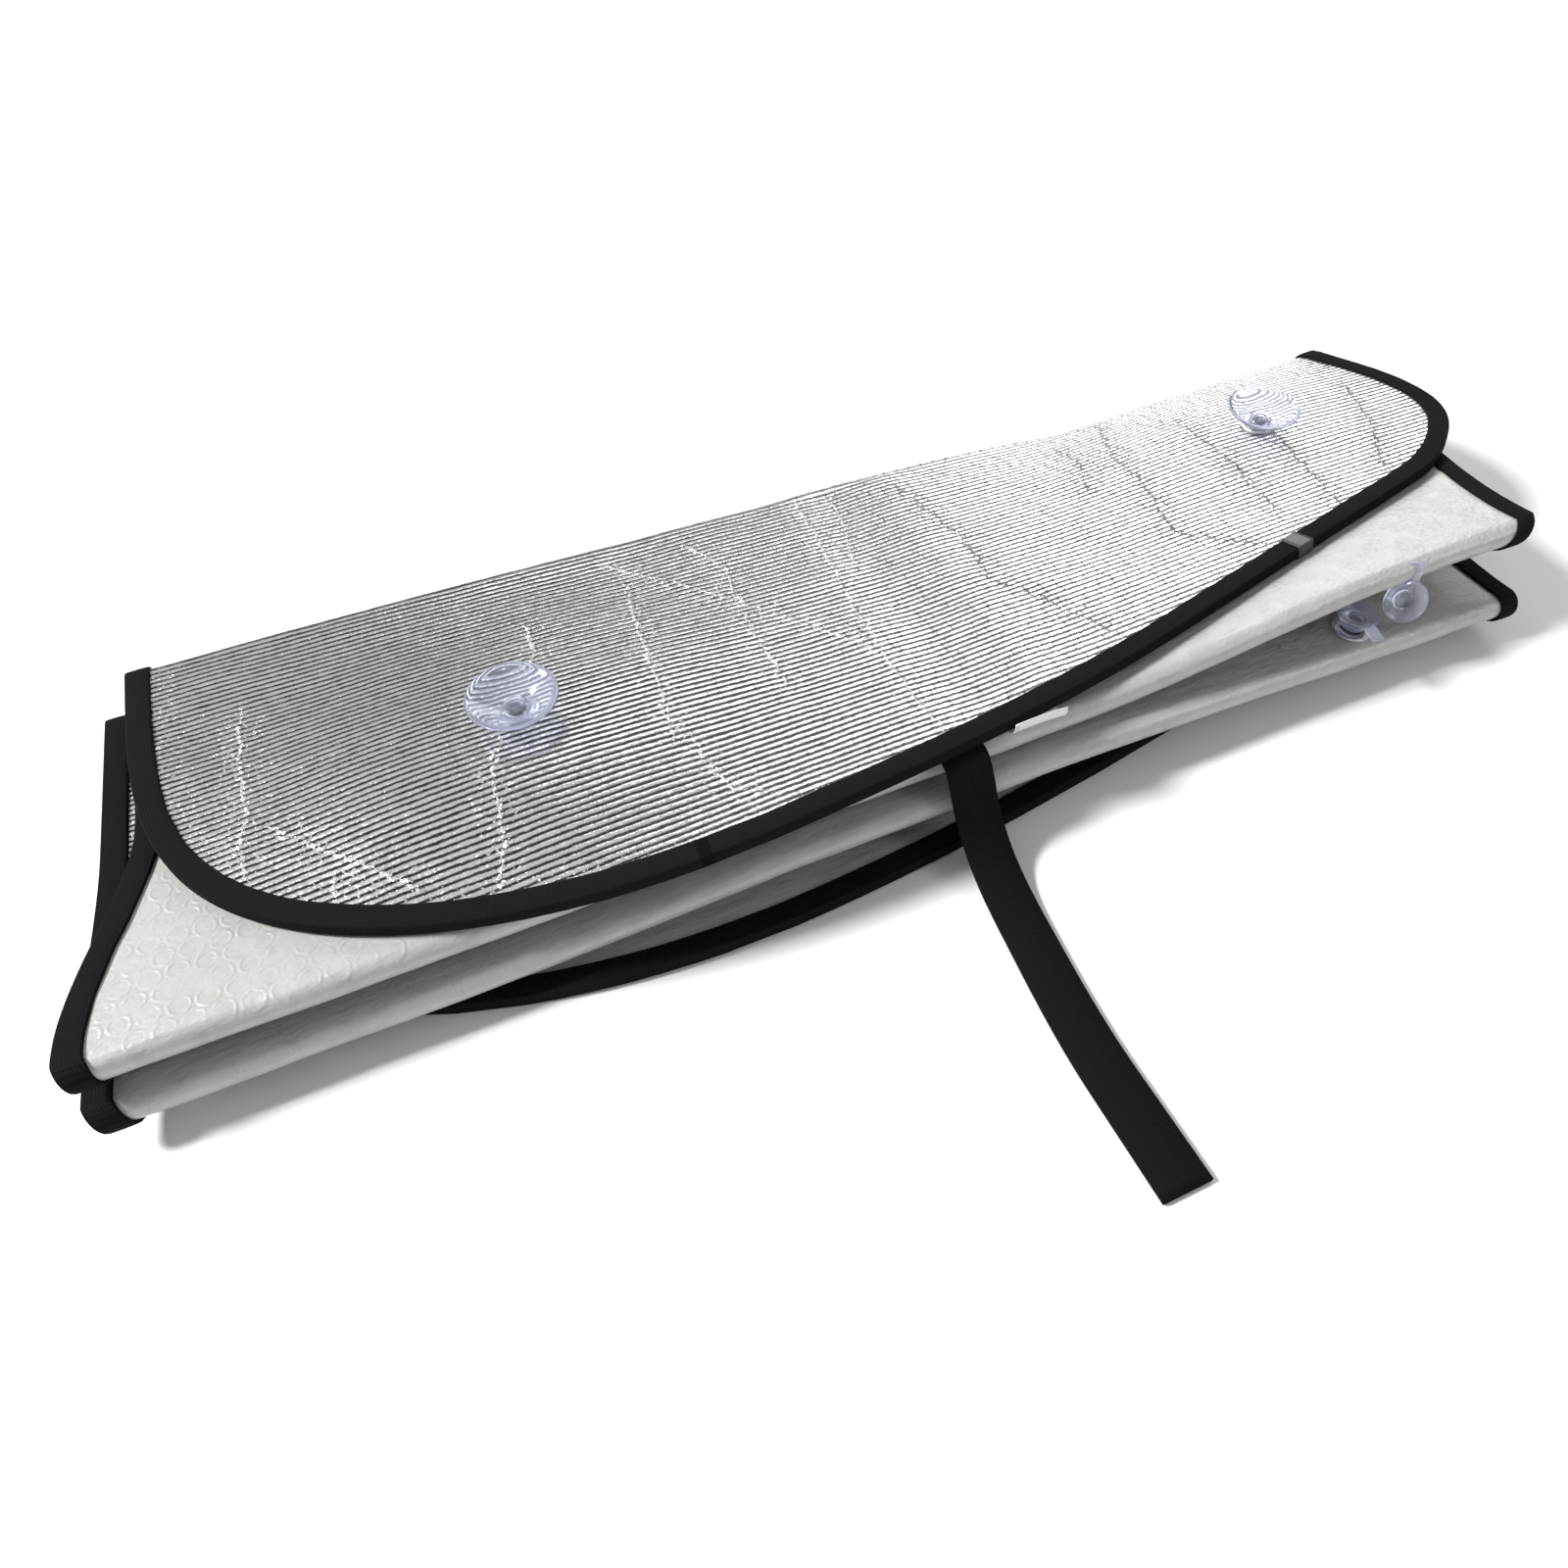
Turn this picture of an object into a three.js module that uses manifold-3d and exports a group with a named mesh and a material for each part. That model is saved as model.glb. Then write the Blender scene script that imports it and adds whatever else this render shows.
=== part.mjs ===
// A windscreen sunshade folded up for storage: one sheet of bubble foil laminate in six accordion panels,
// edged all round with woven binding, with six suction cups in metal eyelets and an elastic closing strap.
// Millimetres, Z up. X runs along the folds and -Y is the side of the free edge and the strap.
import * as THREE from 'three';
import { mergeVertices } from 'three/addons/utils/BufferGeometryUtils.js';
import Module from 'manifold-3d';

const wasm = await Module();
wasm.setup();

// Sheet
const sheetThickness = 3.5;
const panelDepth = 230;
const endPanelReach = panelDepth + 13;
const foldHeight = 13;
const layerGap = 0.8;
const clearance = 0.3;

// Pack, seen from above: where the ends of the folds lie along X
const packLength = 761;
const backFoldLeft = 29;
const backFoldRight = packLength - 11;
const middleFoldLeft = 9;
const middleFoldRight = packLength - 43;
const upperFoldLeft = [-1, 3];
const upperFoldRight = [packLength - 41, packLength - 57];
const lowerFoldLeft = [-1, 5];
const lowerFoldRight = [packLength - 58, packLength - 61];
const sideRun = 120;

// Curved free edge of the two end panels, the same on both because the shade is symmetric
const apexFromLeft = 236;
const leftCornerPower = 4;
const slantDepth = 83;
const slantEndFromRight = 61;
const slantPower = 0.64;
const rightCornerDepth = 81;
const rightCornerPower = 2.6;

// Heights and places of the folds at six stations spread evenly along the pack, left to right
const upperFoldUnder = [33, 32, 35, 36.5, 51, 52];
const lowerFoldUnder = [11.5, 12, 17, 19.5, 15, 11.5];
const upperBackTop = [60, 60, 56.5, 55, 47, 56];
const middleBackTop = [37, 36, 35, 33, 30, 32];
const upperFlapLift = [3.6, 3.6, 7, 6.6, 4, 4];
const lowerFoldFront = [-6, -7, -8, -9, -10, -12];
const upperFoldFront = 0;
const upperFoldBack = upperFoldFront + panelDepth;
const lowestFoldBack = upperFoldBack - 8;

// Edge binding
const bindingWidth = 10;
const bindingThickness = 0.9;
const bindingSlack = 0.55;
const bindingRound = 0.8;

// Eyelets and washers
const eyeletBore = 12;
const barrelWall = 0.6;
const flangeDiameter = 21;
const flangeThickness = 1;
const washerThickness = 0.8;
const curlThickness = 0.6;
const curlDiameter = 16.4;
const rimRound = 0.35;

// Suction cups
const cupDiameter = 42;
const cupDepth = 10;
const cupLip = 0.9;
const cupWall = 1.5;
const knobDiameter = 10.8;
const knobHeight = 3.4;
const neckDiameter = 7.2;
const shoulderDiameter = 16.4;
const collarDiameter = 14.4;
const collarThickness = 1.2;
const waistDiameter = 8.8;
const headDiameter = 22.6;
const headDepth = 5.6;
const headWall = 1.2;
const tabLength = 10;
const tabWidth = 7;
const tabThickness = 1;
const cupLean = 8;
const leftCupFromEnd = 168;
const leftCupFromBack = 129;
const rightCupFromEnd = 113;
const rightCupFromBack = 78;
const liftFlat = 38;
const liftRun = 43;

// The two eyelets beside the middle fold, close to the front folds, and the ramps that the sheet makes there
const pinchedFromRight = [129, 157];
const pinchedFromNose = 11.2;
const rampAngles = [-40, 9];
const rampLength = 22.2;
const rampFlat = 12;
const rampRun = 18;
const pinchedWidth = 0.8;
const pinchedDepth = 0.3;
const pinchedFront = 0.4;
const pinchedBack = 0.5;

// Strap, label and tape
const strapWidth = 22;
const strapThickness = 2.2;
const strapTopFromLeft = 343;
const strapSlide = 9;
const strapSewn = 14;
const strapReach = 201;
const labelFromStrap = 46;
const labelWidth = 28;
const labelThickness = 0.6;
const labelSewn = 7;
const labelReach = 11;
const tapeStart = 51;
const tapeEnd = 55;
const tapeThickness = 0.4;

// Mesh steps: in from the tip of an end panel, in from a front fold and back from a back fold
const tipSteps = [0.4, 2, 6, 13, 24, 38, tapeStart, tapeEnd, 67, 80];
const frontSteps = [17, 22];
const flapBackSteps = [150, 135, 116, 94, 57];
const panelBackSteps = [180, 148, 108, 58];
const foldSegments = 4;
const roundSegments = 16;
const smallSegments = 14;

const half = sheetThickness / 2;
const foldRadius = (foldHeight - sheetThickness) / 2;
const bindingInner = half + bindingSlack;
const bindingTip = bindingSlack + bindingThickness;
const bindingOuter = bindingInner + bindingThickness;
const curlTop = half + clearance + washerThickness + clearance + curlThickness;
const flangeFace = half + clearance + flangeThickness;

const { clamp, degToRad, lerp, smoothstep } = THREE.MathUtils;

// Smooth curve through the six station values
function along(values, x) {
  const last = values.length - 1;
  const t = clamp(x / packLength, 0, 0.999999) * last;
  const i = Math.floor(t);
  const f = t - i;
  const a = values[i];
  const b = values[i + 1];
  const slopeA = i > 0 ? (b - values[i - 1]) / 2 : b - a;
  const slopeB = i < last - 1 ? (values[i + 2] - a) / 2 : b - a;
  const f2 = f * f;
  const f3 = f2 * f;
  const rise = 3 * f2 - 2 * f3;
  return lerp(a, b, rise) + slopeA * (f3 - 2 * f2 + f) + slopeB * (f3 - f2);
}

// How far a leaning cup stands out of its eyelet; its neck is long enough for the collar to clear the flange
function seatHeight(lean) {
  const a = degToRad(lean);
  return (curlTop + clearance + Math.sin(a) * shoulderDiameter / 2) / Math.cos(a);
}
const leanDrop = Math.sin(degToRad(cupLean)) * collarDiameter / 2;
const neckLength = seatHeight(cupLean) + (flangeFace + clearance + leanDrop) / Math.cos(degToRad(cupLean));
const headReach = neckLength + 2 * collarThickness + headDepth;

// Heights of the six layers where they lie over the suction cups, the top panel first
const tabSweep = Math.sin(degToRad(cupLean)) * (headDiameter / 2 + tabLength);
const lowestLayer = seatHeight(0) + cupDepth;
const fifthLayer = lowestLayer + headReach - seatHeight(0) + half + 2 * layerGap;
const layerStep = sheetThickness + layerGap;
const secondLayer = fifthLayer + 3 * layerStep;
const topLayer = secondLayer + half + clearance + tabSweep + headReach - seatHeight(cupLean) + layerGap;
const thirdLayer = secondLayer - layerStep;
const fourthLayer = fifthLayer + layerStep;
const liftedLayers = [topLayer, secondLayer, thirdLayer, fourthLayer, fifthLayer, lowestLayer];

// Folds: the middle of each fold's round end at x, with its side, and the panel above and below
const floorLevel = bindingOuter + 0.1;
const foldList = [
  { side: 1, y: () => upperFoldBack, under: x => along(upperBackTop, x) - foldHeight + half },
  { side: -1, y: () => upperFoldFront, under: x => along(upperFoldUnder, x) + half },
  { side: 1, y: () => upperFoldBack, under: x => along(middleBackTop, x) - foldHeight + half },
  { side: -1, y: x => along(lowerFoldFront, x), under: x => along(lowerFoldUnder, x) + half },
  { side: 1, y: () => lowestFoldBack, under: () => floorLevel },
];

function foldCentre(fold, x) {
  return { y: fold.y(x) - fold.side * foldHeight / 2, z: fold.under(x) + foldRadius };
}

// Ramps on the third and fourth panels, which carry the two pinched cups
function rampAngle(panel, x) {
  if (panel !== 2 && panel !== 3) {
    return 0;
  }
  const away = Math.abs(x - packLength + pinchedFromRight[panel - 2]);
  return degToRad(rampAngles[panel - 2]) * (1 - smoothstep(away, rampFlat, rampFlat + rampRun));
}

// Where a panel leaves its front fold and meets its back fold
function panelFront(panel, x) {
  if (panel === 0) {
    return { y: upperFoldFront, z: along(upperFoldUnder, x) + foldHeight + along(upperFlapLift, x) };
  }
  if (panel === 5) {
    return { y: upperFoldFront, z: floorLevel };
  }
  const fold = foldList[panel < 3 ? 1 : 3];
  const above = panel === 1 || panel === 3 ? 1 : -1;
  const centre = foldCentre(fold, x);
  const a = Math.abs(rampAngle(panel, x));
  return { y: centre.y - foldRadius * Math.sin(a), z: centre.z + above * foldRadius * Math.cos(a) };
}

function panelBack(panel, x) {
  const fold = foldList[2 * Math.floor(panel / 2)];
  const centre = foldCentre(fold, x);
  return { y: centre.y, z: centre.z + (panel % 2 === 0 ? foldRadius : -foldRadius) };
}

const cupPlaces = [
  { x: backFoldLeft + leftCupFromEnd, fromBack: leftCupFromBack },
  { x: packLength - rightCupFromEnd, fromBack: rightCupFromBack },
];
const [leftCup, rightCup] = cupPlaces;
const [upperPinchedX, lowerPinchedX] = pinchedFromRight.map(fromRight => packLength - fromRight);

function panelHeight(panel, x, y) {
  const front = panelFront(panel, x);
  const back = panelBack(panel, x);
  const run = y - front.y;
  const depth = back.y - front.y;
  const angle = rampAngle(panel, x);
  const rampEnd = rampLength * Math.cos(angle);
  const ramp = run < rampEnd ? run : rampEnd * (depth - run) / (depth - rampEnd);
  let z = lerp(front.z, back.z, run / depth) + Math.tan(angle) * ramp;
  for (const place of cupPlaces) {
    const cupY = foldList[panel < 4 ? 0 : 4].y(x) - place.fromBack;
    const away = Math.hypot(x - place.x, y - cupY);
    z = lerp(liftedLayers[panel], z, smoothstep(away, liftFlat, liftFlat + liftRun));
  }
  return z;
}

// A point of the sheet's middle surface and the direction that its silver face looks in
const nudge = 0.5;
function panelPoint(panel, x, y) {
  const point = new THREE.Vector3(x, y, panelHeight(panel, x, y));
  const slopeX = (panelHeight(panel, x + nudge, y) - panelHeight(panel, x - nudge, y)) / (2 * nudge);
  const slopeY = (panelHeight(panel, x, y + nudge) - panelHeight(panel, x, y - nudge)) / (2 * nudge);
  const normal = new THREE.Vector3(-slopeX, -slopeY, 1).normalize();
  if (panel % 2 === 1) {
    normal.negate();
  }
  return { point, normal };
}

function foldPoint(index, share, x) {
  const fold = foldList[index];
  const centre = foldCentre(fold, x);
  const start = Math.abs(rampAngle(index, x));
  const end = Math.PI - Math.abs(rampAngle(index + 1, x));
  const angle = lerp(start, end, share);
  const normal = new THREE.Vector3(0, fold.side * Math.sin(angle), Math.cos(angle));
  const point = new THREE.Vector3(x, centre.y, centre.z).addScaledVector(normal, foldRadius);
  if (fold.side < 0) {
    normal.negate();
  }
  return { point, normal };
}

// Outline: how far left and right the sheet reaches, a distance in from the tip of an end panel
function flapLeft(fromTip) {
  const share = Math.max(0, 1 - fromTip / endPanelReach);
  return backFoldLeft + apexFromLeft * (1 - Math.sqrt(1 - share ** leftCornerPower));
}

function flapRight(fromTip) {
  const apex = backFoldLeft + apexFromLeft;
  const slantEnd = packLength - slantEndFromRight;
  if (fromTip < slantDepth) {
    return lerp(apex, slantEnd, (fromTip / slantDepth) ** slantPower);
  }
  const left = Math.max(0, 1 - (fromTip - slantDepth) / rightCornerDepth);
  const fade = smoothstep(fromTip, slantDepth + rightCornerDepth, endPanelReach);
  return packLength - slantEndFromRight * left ** rightCornerPower - (packLength - backFoldRight) * fade;
}

function sideEase(frontX, backX, run) {
  return lerp(frontX, backX, smoothstep(run, 0, sideRun));
}

// Rows across the sheet from the tip of the top panel to the tip of the bottom one
const outerBack = [backFoldLeft, backFoldRight];
const backs = [outerBack, [middleFoldLeft, middleFoldRight], outerBack];
const fronts = [[upperFoldLeft, upperFoldRight], [lowerFoldLeft, lowerFoldRight]];
const tipOf = panel => (panel === 0 ? upperFoldBack : lowestFoldBack) - endPanelReach;

function flapRow(panel, fromTip) {
  return {
    panel,
    fromTip,
    left: flapLeft(fromTip),
    right: flapRight(fromTip),
    at: (x, inY = 0) => panelPoint(panel, x, tipOf(panel) + fromTip + inY),
  };
}

function panelRow(panel, run) {
  const frontFold = fronts[panel < 3 ? 0 : 1];
  const end = panel % 2 === 1 ? 0 : 1;
  const back = backs[Math.floor(panel / 2)];
  return {
    panel,
    left: sideEase(frontFold[0][end], back[0], run),
    right: sideEase(frontFold[1][end], back[1], run),
    at: x => panelPoint(panel, x, panelFront(panel, x).y + run),
  };
}

function foldRows(index) {
  const rows = [];
  for (let i = 0; i <= foldSegments; i++) {
    const share = i / foldSegments;
    const front = fronts[(index - 1) / 2];
    const back = backs[index / 2];
    rows.push({
      left: index % 2 === 1 ? lerp(front[0][0], front[0][1], share) : back[0],
      right: index % 2 === 1 ? lerp(front[1][0], front[1][1], share) : back[1],
      at: x => foldPoint(index, share, x),
    });
  }
  return rows;
}

const increasing = (a, b) => a - b;
const flapSteps = [...tipSteps, ...flapBackSteps.map(step => endPanelReach - step)].sort(increasing);
const panelSteps = [...frontSteps, ...panelBackSteps.map(step => panelDepth - step)].sort(increasing);
const rows = flapSteps.map(step => flapRow(0, step));
for (let panel = 1; panel < 5; panel++) {
  rows.push(...foldRows(panel - 1));
  const runs = panelSteps.map(run => panelRow(panel, run));
  rows.push(...(panel % 2 === 1 ? runs.reverse() : runs));
}
rows.push(...foldRows(4));
rows.push(...flapSteps.map(step => flapRow(5, step)).reverse());

// Columns of the mesh as shares of a row, placed beside the left cups and beside the pinched eyelets
const cupTip = endPanelReach - leftCupFromBack;
const besideCup = x => (x - flapLeft(cupTip)) / (flapRight(cupTip) - flapLeft(cupTip));
const besidePinched = x => (x - upperFoldLeft[1]) / (upperFoldRight[1] - upperFoldLeft[1]);
const leftColumns = [-30, 8, 42].map(away => besideCup(leftCup.x + away));
const rightColumns = [-40, -11, 0, 15, 39].map(away => besidePinched(lowerPinchedX + away));
const columns = [0, 0.015, 0.055, 0.12, ...leftColumns, 0.43, 0.57, 0.7, ...rightColumns, 0.95, 0.985, 1];

// Closed geometry from shared corners and triangles, turned so that its faces point out
function closedGeometry(points, triangles) {
  let volume = 0;
  for (const [a, b, c] of triangles) {
    volume += points[a].dot(new THREE.Vector3().crossVectors(points[b], points[c]));
  }
  const ordered = volume < 0 ? triangles.map(([a, b, c]) => [a, c, b]) : triangles;
  const geometry = new THREE.BufferGeometry().setFromPoints(points);
  geometry.setIndex(ordered.flat());
  return geometry;
}

// A solid through rings of points, each an outer line and an inner line, so an open end closes as a strip
function ringSolid(rings, closed, lineLength) {
  const count = rings[0].length;
  const triangles = [];
  const quad = (a, b, c, d) => triangles.push([a, b, c], [a, c, d]);
  const spans = closed ? rings.length : rings.length - 1;
  for (let i = 0; i < spans; i++) {
    const here = i * count;
    const next = ((i + 1) % rings.length) * count;
    for (let j = 0; j < count; j++) {
      const k = (j + 1) % count;
      quad(here + j, here + k, next + k, next + j);
    }
  }
  if (!closed) {
    const last = (rings.length - 1) * count;
    for (let j = 0; j < lineLength - 1; j++) {
      const far = count - 1 - j;
      quad(j, far, far - 1, j + 1);
      quad(last + j, last + j + 1, last + far - 1, last + far);
    }
  }
  return closedGeometry(rings.flat(), triangles);
}

// Booleans
function toSolid(geometry) {
  const bare = geometry.clone();
  bare.deleteAttribute('normal');
  bare.deleteAttribute('uv');
  const merged = mergeVertices(bare, 1e-4);
  return new wasm.Manifold(new wasm.Mesh({
    numProp: 3,
    vertProperties: new Float32Array(merged.attributes.position.array),
    triVerts: new Uint32Array(merged.index.array),
  }));
}

function fromSolid(solid) {
  const mesh = solid.getMesh();
  const geometry = new THREE.BufferGeometry();
  geometry.setAttribute('position', new THREE.BufferAttribute(new Float32Array(mesh.vertProperties), 3));
  geometry.setIndex(new THREE.BufferAttribute(new Uint32Array(mesh.triVerts), 1));
  return geometry;
}

// Revolved section about Z: [radius, height] corners
function revolve(corners, segments) {
  const profile = corners.map(([r, z]) => new THREE.Vector2(r, z));
  if (THREE.ShapeUtils.area(profile) < 0) {
    profile.reverse();
  }
  const geometry = new THREE.LatheGeometry(profile, segments);
  geometry.rotateX(Math.PI / 2);
  return geometry;
}

// Sheet with its six eyelet holes
function sheetGeometry() {
  const points = [];
  const triangles = [];
  const across = columns.length;
  for (const row of rows) {
    const line = columns.map(f => row.at(lerp(row.left, row.right, f)));
    points.push(...line.map(s => s.point.clone().addScaledVector(s.normal, half)));
    points.push(...line.map(s => s.point.clone().addScaledVector(s.normal, -half)));
  }
  const quad = (a, b, c, d) => triangles.push([a, b, c], [a, c, d]);
  for (let i = 0; i + 1 < rows.length; i++) {
    const here = 2 * i * across;
    const next = here + 2 * across;
    for (let j = 0; j + 1 < across; j++) {
      quad(here + j, here + j + 1, next + j + 1, next + j);
      quad(next + across + j, next + across + j + 1, here + across + j + 1, here + across + j);
    }
    quad(here, next, next + across, here + across);
    quad(here + across - 1, here + 2 * across - 1, next + 2 * across - 1, next + across - 1);
  }
  const last = 2 * (rows.length - 1) * across;
  for (let j = 0; j + 1 < across; j++) {
    quad(j, across + j, across + j + 1, j + 1);
    quad(last + j, last + j + 1, last + across + j + 1, last + across + j);
  }
  return closedGeometry(points, triangles);
}

// Edge stations once round the sheet, each with a function from inward distance and height to a point
function plainStation(row, x, inward) {
  return (d, h) => {
    const spot = row.at(x + inward * d);
    return spot.point.addScaledVector(spot.normal, h);
  };
}

function flapStation(row, edge, inward) {
  const ahead = edge(row.fromTip + nudge / 2);
  const behind = edge(row.fromTip - nudge / 2);
  const normal = new THREE.Vector2(nudge * inward, -(ahead - behind) * inward).normalize();
  return (d, h) => {
    const spot = row.at(edge(row.fromTip) + normal.x * d, normal.y * d);
    return spot.point.addScaledVector(spot.normal, h);
  };
}

function tipStation(row, f) {
  return (d, h) => {
    const spot = row.at(lerp(row.left, row.right, f), d);
    return spot.point.addScaledVector(spot.normal, h);
  };
}

function sideStations(side) {
  return rows.map(row => {
    if (row.fromTip !== undefined) {
      return side < 0 ? flapStation(row, flapLeft, 1) : flapStation(row, flapRight, -1);
    }
    return plainStation(row, side < 0 ? row.left : row.right, -side);
  });
}

const bindingOuterLine = [[bindingWidth, bindingOuter], [-bindingTip + bindingRound, bindingOuter],
  [-bindingTip, bindingOuter - bindingRound], [-bindingTip, -bindingOuter + bindingRound],
  [-bindingTip + bindingRound, -bindingOuter], [bindingWidth, -bindingOuter]];
const bindingInnerLine = [[bindingWidth, bindingInner], [-bindingSlack, bindingInner],
  [-bindingSlack, -bindingInner], [bindingWidth, -bindingInner]];

function bindingGeometry() {
  const stations = [...sideStations(-1), ...[0.33, 0.67].map(f => tipStation(rows.at(-1), f)),
    ...sideStations(1).reverse(), ...[0.67, 0.33].map(f => tipStation(rows[0], f))];
  const section = [...bindingOuterLine, ...[...bindingInnerLine].reverse()];
  return ringSolid(stations.map(place => section.map(([d, h]) => place(d, h))), true);
}

function tapeGeometry() {
  const inner = bindingOuter + clearance;
  const outer = inner + tapeThickness;
  const tip = bindingTip + clearance;
  const outerLine = [[bindingWidth, outer], [-tip - tapeThickness, outer], [-tip - tapeThickness, -outer],
    [bindingWidth, -outer]];
  const innerLine = [[bindingWidth, inner], [-tip, inner], [-tip, -inner], [bindingWidth, -inner]];
  const section = [...outerLine, ...innerLine.reverse()];
  const rings = [tapeStart, tapeEnd].map(step => {
    const place = flapStation(flapRow(0, step), flapRight, -1);
    return section.map(([d, h]) => place(d, h));
  });
  return ringSolid(rings, false, outerLine.length);
}

// Flat band along points [y, z] with its middle at x
function bandGeometry(path, width, thickness, middle) {
  const knots = path.map(([y, z]) => new THREE.Vector3(0, y, z));
  const curve = new THREE.CatmullRomCurve3(knots, false, 'centripetal');
  const steps = path.length * 2;
  const rings = [];
  for (let i = 0; i <= steps; i++) {
    const centre = curve.getPoint(i / steps);
    const tangent = curve.getTangent(i / steps);
    const up = new THREE.Vector3(0, -tangent.z, tangent.y).multiplyScalar(thickness / 2);
    const x = middle(centre.y);
    const reach = width / 2;
    const corners = [[-reach, 1], [reach, 1], [reach, -1], [-reach, -1]];
    rings.push(corners.map(([across, side]) => {
      const corner = new THREE.Vector3(x + across, centre.y, centre.z);
      return corner.addScaledVector(up, side);
    }));
  }
  return ringSolid(rings, false, 2);
}

const flapEdgeY = x => {
  const apex = backFoldLeft + apexFromLeft;
  const share = (x - apex) / (packLength - slantEndFromRight - apex);
  return tipOf(0) + slantDepth * share ** (1 / slantPower);
};

function strapGeometry() {
  const topX = backFoldLeft + strapTopFromLeft;
  const edge = flapEdgeY(topX);
  const top = panelHeight(0, topX, edge) - bindingOuter - 3 * clearance - strapThickness / 2;
  const floor = strapThickness / 2 + clearance;
  const lip = Math.min(edge - bindingTip, along(lowerFoldFront, topX) + 4 * layerGap);
  const path = [[edge + strapSewn, top], [lip, top], [lip - 4, top - 3], [lip - 7, top * 0.74],
    [lip - 8.5, top * 0.5], [lip - 12, top * 0.27], [lip - 19, top * 0.11], [lip - 30, floor + 0.8],
    [lip - 42, floor], [lip - 66, floor], [-strapReach * 0.7, floor], [-strapReach, floor]];
  const middle = y => topX - strapSlide * (1 - smoothstep(y, -60, 0));
  return bandGeometry(path, strapWidth, strapThickness, middle);
}

function labelGeometry() {
  const x = backFoldLeft + strapTopFromLeft + labelFromStrap;
  const edge = flapEdgeY(x);
  const top = panelHeight(0, x, edge) - bindingOuter - clearance - labelThickness / 2 - 0.2;
  const lip = edge - bindingTip;
  const path = [[edge + labelSewn, top], [edge, top - 0.2], [lip - 2, top - 0.6],
    [lip - 0.6 * labelReach, top - 0.8], [lip - labelReach, top + 0.4]];
  return bandGeometry(path, labelWidth, labelThickness, () => x);
}

// Eyelet: flange on the white side, barrel through the sheet, end curled over the washer on the silver side
function eyeletGeometry() {
  const bore = eyeletBore / 2;
  const barrel = bore + barrelWall;
  const flange = flangeDiameter / 2;
  const curlUnder = curlTop - curlThickness;
  const flangeUnder = -half - clearance;
  const curl = curlDiameter / 2;
  return revolve([[bore, -flangeFace], [flange - rimRound, -flangeFace], [flange, -flangeFace + rimRound],
    [flange, flangeUnder], [barrel, flangeUnder], [barrel, curlUnder], [curl, curlUnder],
    [curl - rimRound, curlTop], [bore, curlTop], [bore, -flangeFace]], smallSegments);
}

const holeRadius = (eyeletBore / 2 + barrelWall + clearance) / Math.cos(Math.PI / smallSegments);

function washerGeometry() {
  const under = half + clearance;
  const outside = flangeDiameter / 2;
  return revolve([[holeRadius, under], [outside, under], [outside - rimRound, under + washerThickness],
    [holeRadius, under + washerThickness], [holeRadius, under]], smallSegments);
}

// Suction cup about Z, with its shoulder at height 0, the bell above and the neck, collar and hollow head
// below; the tab points to -Y turned by the heading, and a squashed bell is pinched flat towards -Y
function cupGeometry(heading, squashed) {
  const rim = cupDiameter / 2;
  const shoulder = shoulderDiameter / 2;
  const bell = revolve([[0, knobHeight], [knobDiameter / 2, knobHeight], [shoulder - 2, cupWall],
    [shoulder + 3, 2.1 + cupWall], [rim - 4.5, 6 + cupWall], [rim - cupLip, cupDepth], [rim, cupDepth],
    [rim, cupDepth - cupLip], [rim - 3.6, 5.6], [shoulder + 3.6, 1.9], [shoulder, 0], [0, 0]], roundSegments);
  if (squashed) {
    const corners = bell.attributes.position;
    for (let i = 0; i < corners.count; i++) {
      corners.setX(i, corners.getX(i) * pinchedWidth);
      corners.setY(i, corners.getY(i) * (corners.getY(i) < 0 ? pinchedFront : pinchedBack));
      corners.setZ(i, corners.getZ(i) * pinchedDepth);
    }
  }
  const neck = neckDiameter / 2;
  const collar = collarDiameter / 2;
  const waist = waistDiameter / 2;
  const head = headDiameter / 2;
  const collarEnd = -neckLength - collarThickness;
  const waistEnd = collarEnd - collarThickness;
  const body = revolve([[0, 0.4], [neck, 0.4], [neck, -neckLength], [collar, -neckLength],
    [collar, collarEnd], [waist, waistEnd], [waist + headWall, waistEnd - 0.4 * headDepth],
    [head, -headReach + headWall], [head - headWall, -headReach], [waist, waistEnd - 0.5 * headDepth],
    [0, waistEnd - 0.4 * headDepth]], smallSegments);
  const tab = new THREE.BoxGeometry(tabWidth, tabLength + headWall, tabThickness);
  tab.translate(0, -head - (tabLength - headWall) / 2, -headReach + tabThickness / 2);
  tab.rotateZ(degToRad(heading));
  return fromSolid(toSolid(bell).add(toSolid(body)).add(toSolid(tab)));
}

// Materials
const foilMaterial = new THREE.MeshStandardMaterial({ color: 0xc9cac8, roughness: 0.35, metalness: 0.8 });
const bindingMaterial = new THREE.MeshStandardMaterial({ color: 0x1e1e20, roughness: 0.9, metalness: 0 });
const strapMaterial = new THREE.MeshStandardMaterial({ color: 0x141412, roughness: 0.9, metalness: 0 });
const labelMaterial = new THREE.MeshStandardMaterial({ color: 0xf2f2f0, roughness: 0.7, metalness: 0 });
const tapeMaterial = new THREE.MeshStandardMaterial({ color: 0x6a6a6c, roughness: 0.25, metalness: 0 });
const cupMaterial = new THREE.MeshStandardMaterial({ color: 0xd9dcf0, roughness: 0.15, metalness: 0 });
const metalMaterial = new THREE.MeshStandardMaterial({ color: 0xb9babd, roughness: 0.2, metalness: 1 });

const group = new THREE.Group();
function addMesh(name, geometry, material, frame) {
  const mesh = new THREE.Mesh(geometry, material);
  mesh.name = name;
  if (frame) {
    mesh.position.copy(frame.position);
    mesh.quaternion.copy(frame.quaternion);
  }
  group.add(mesh);
  return mesh;
}

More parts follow.
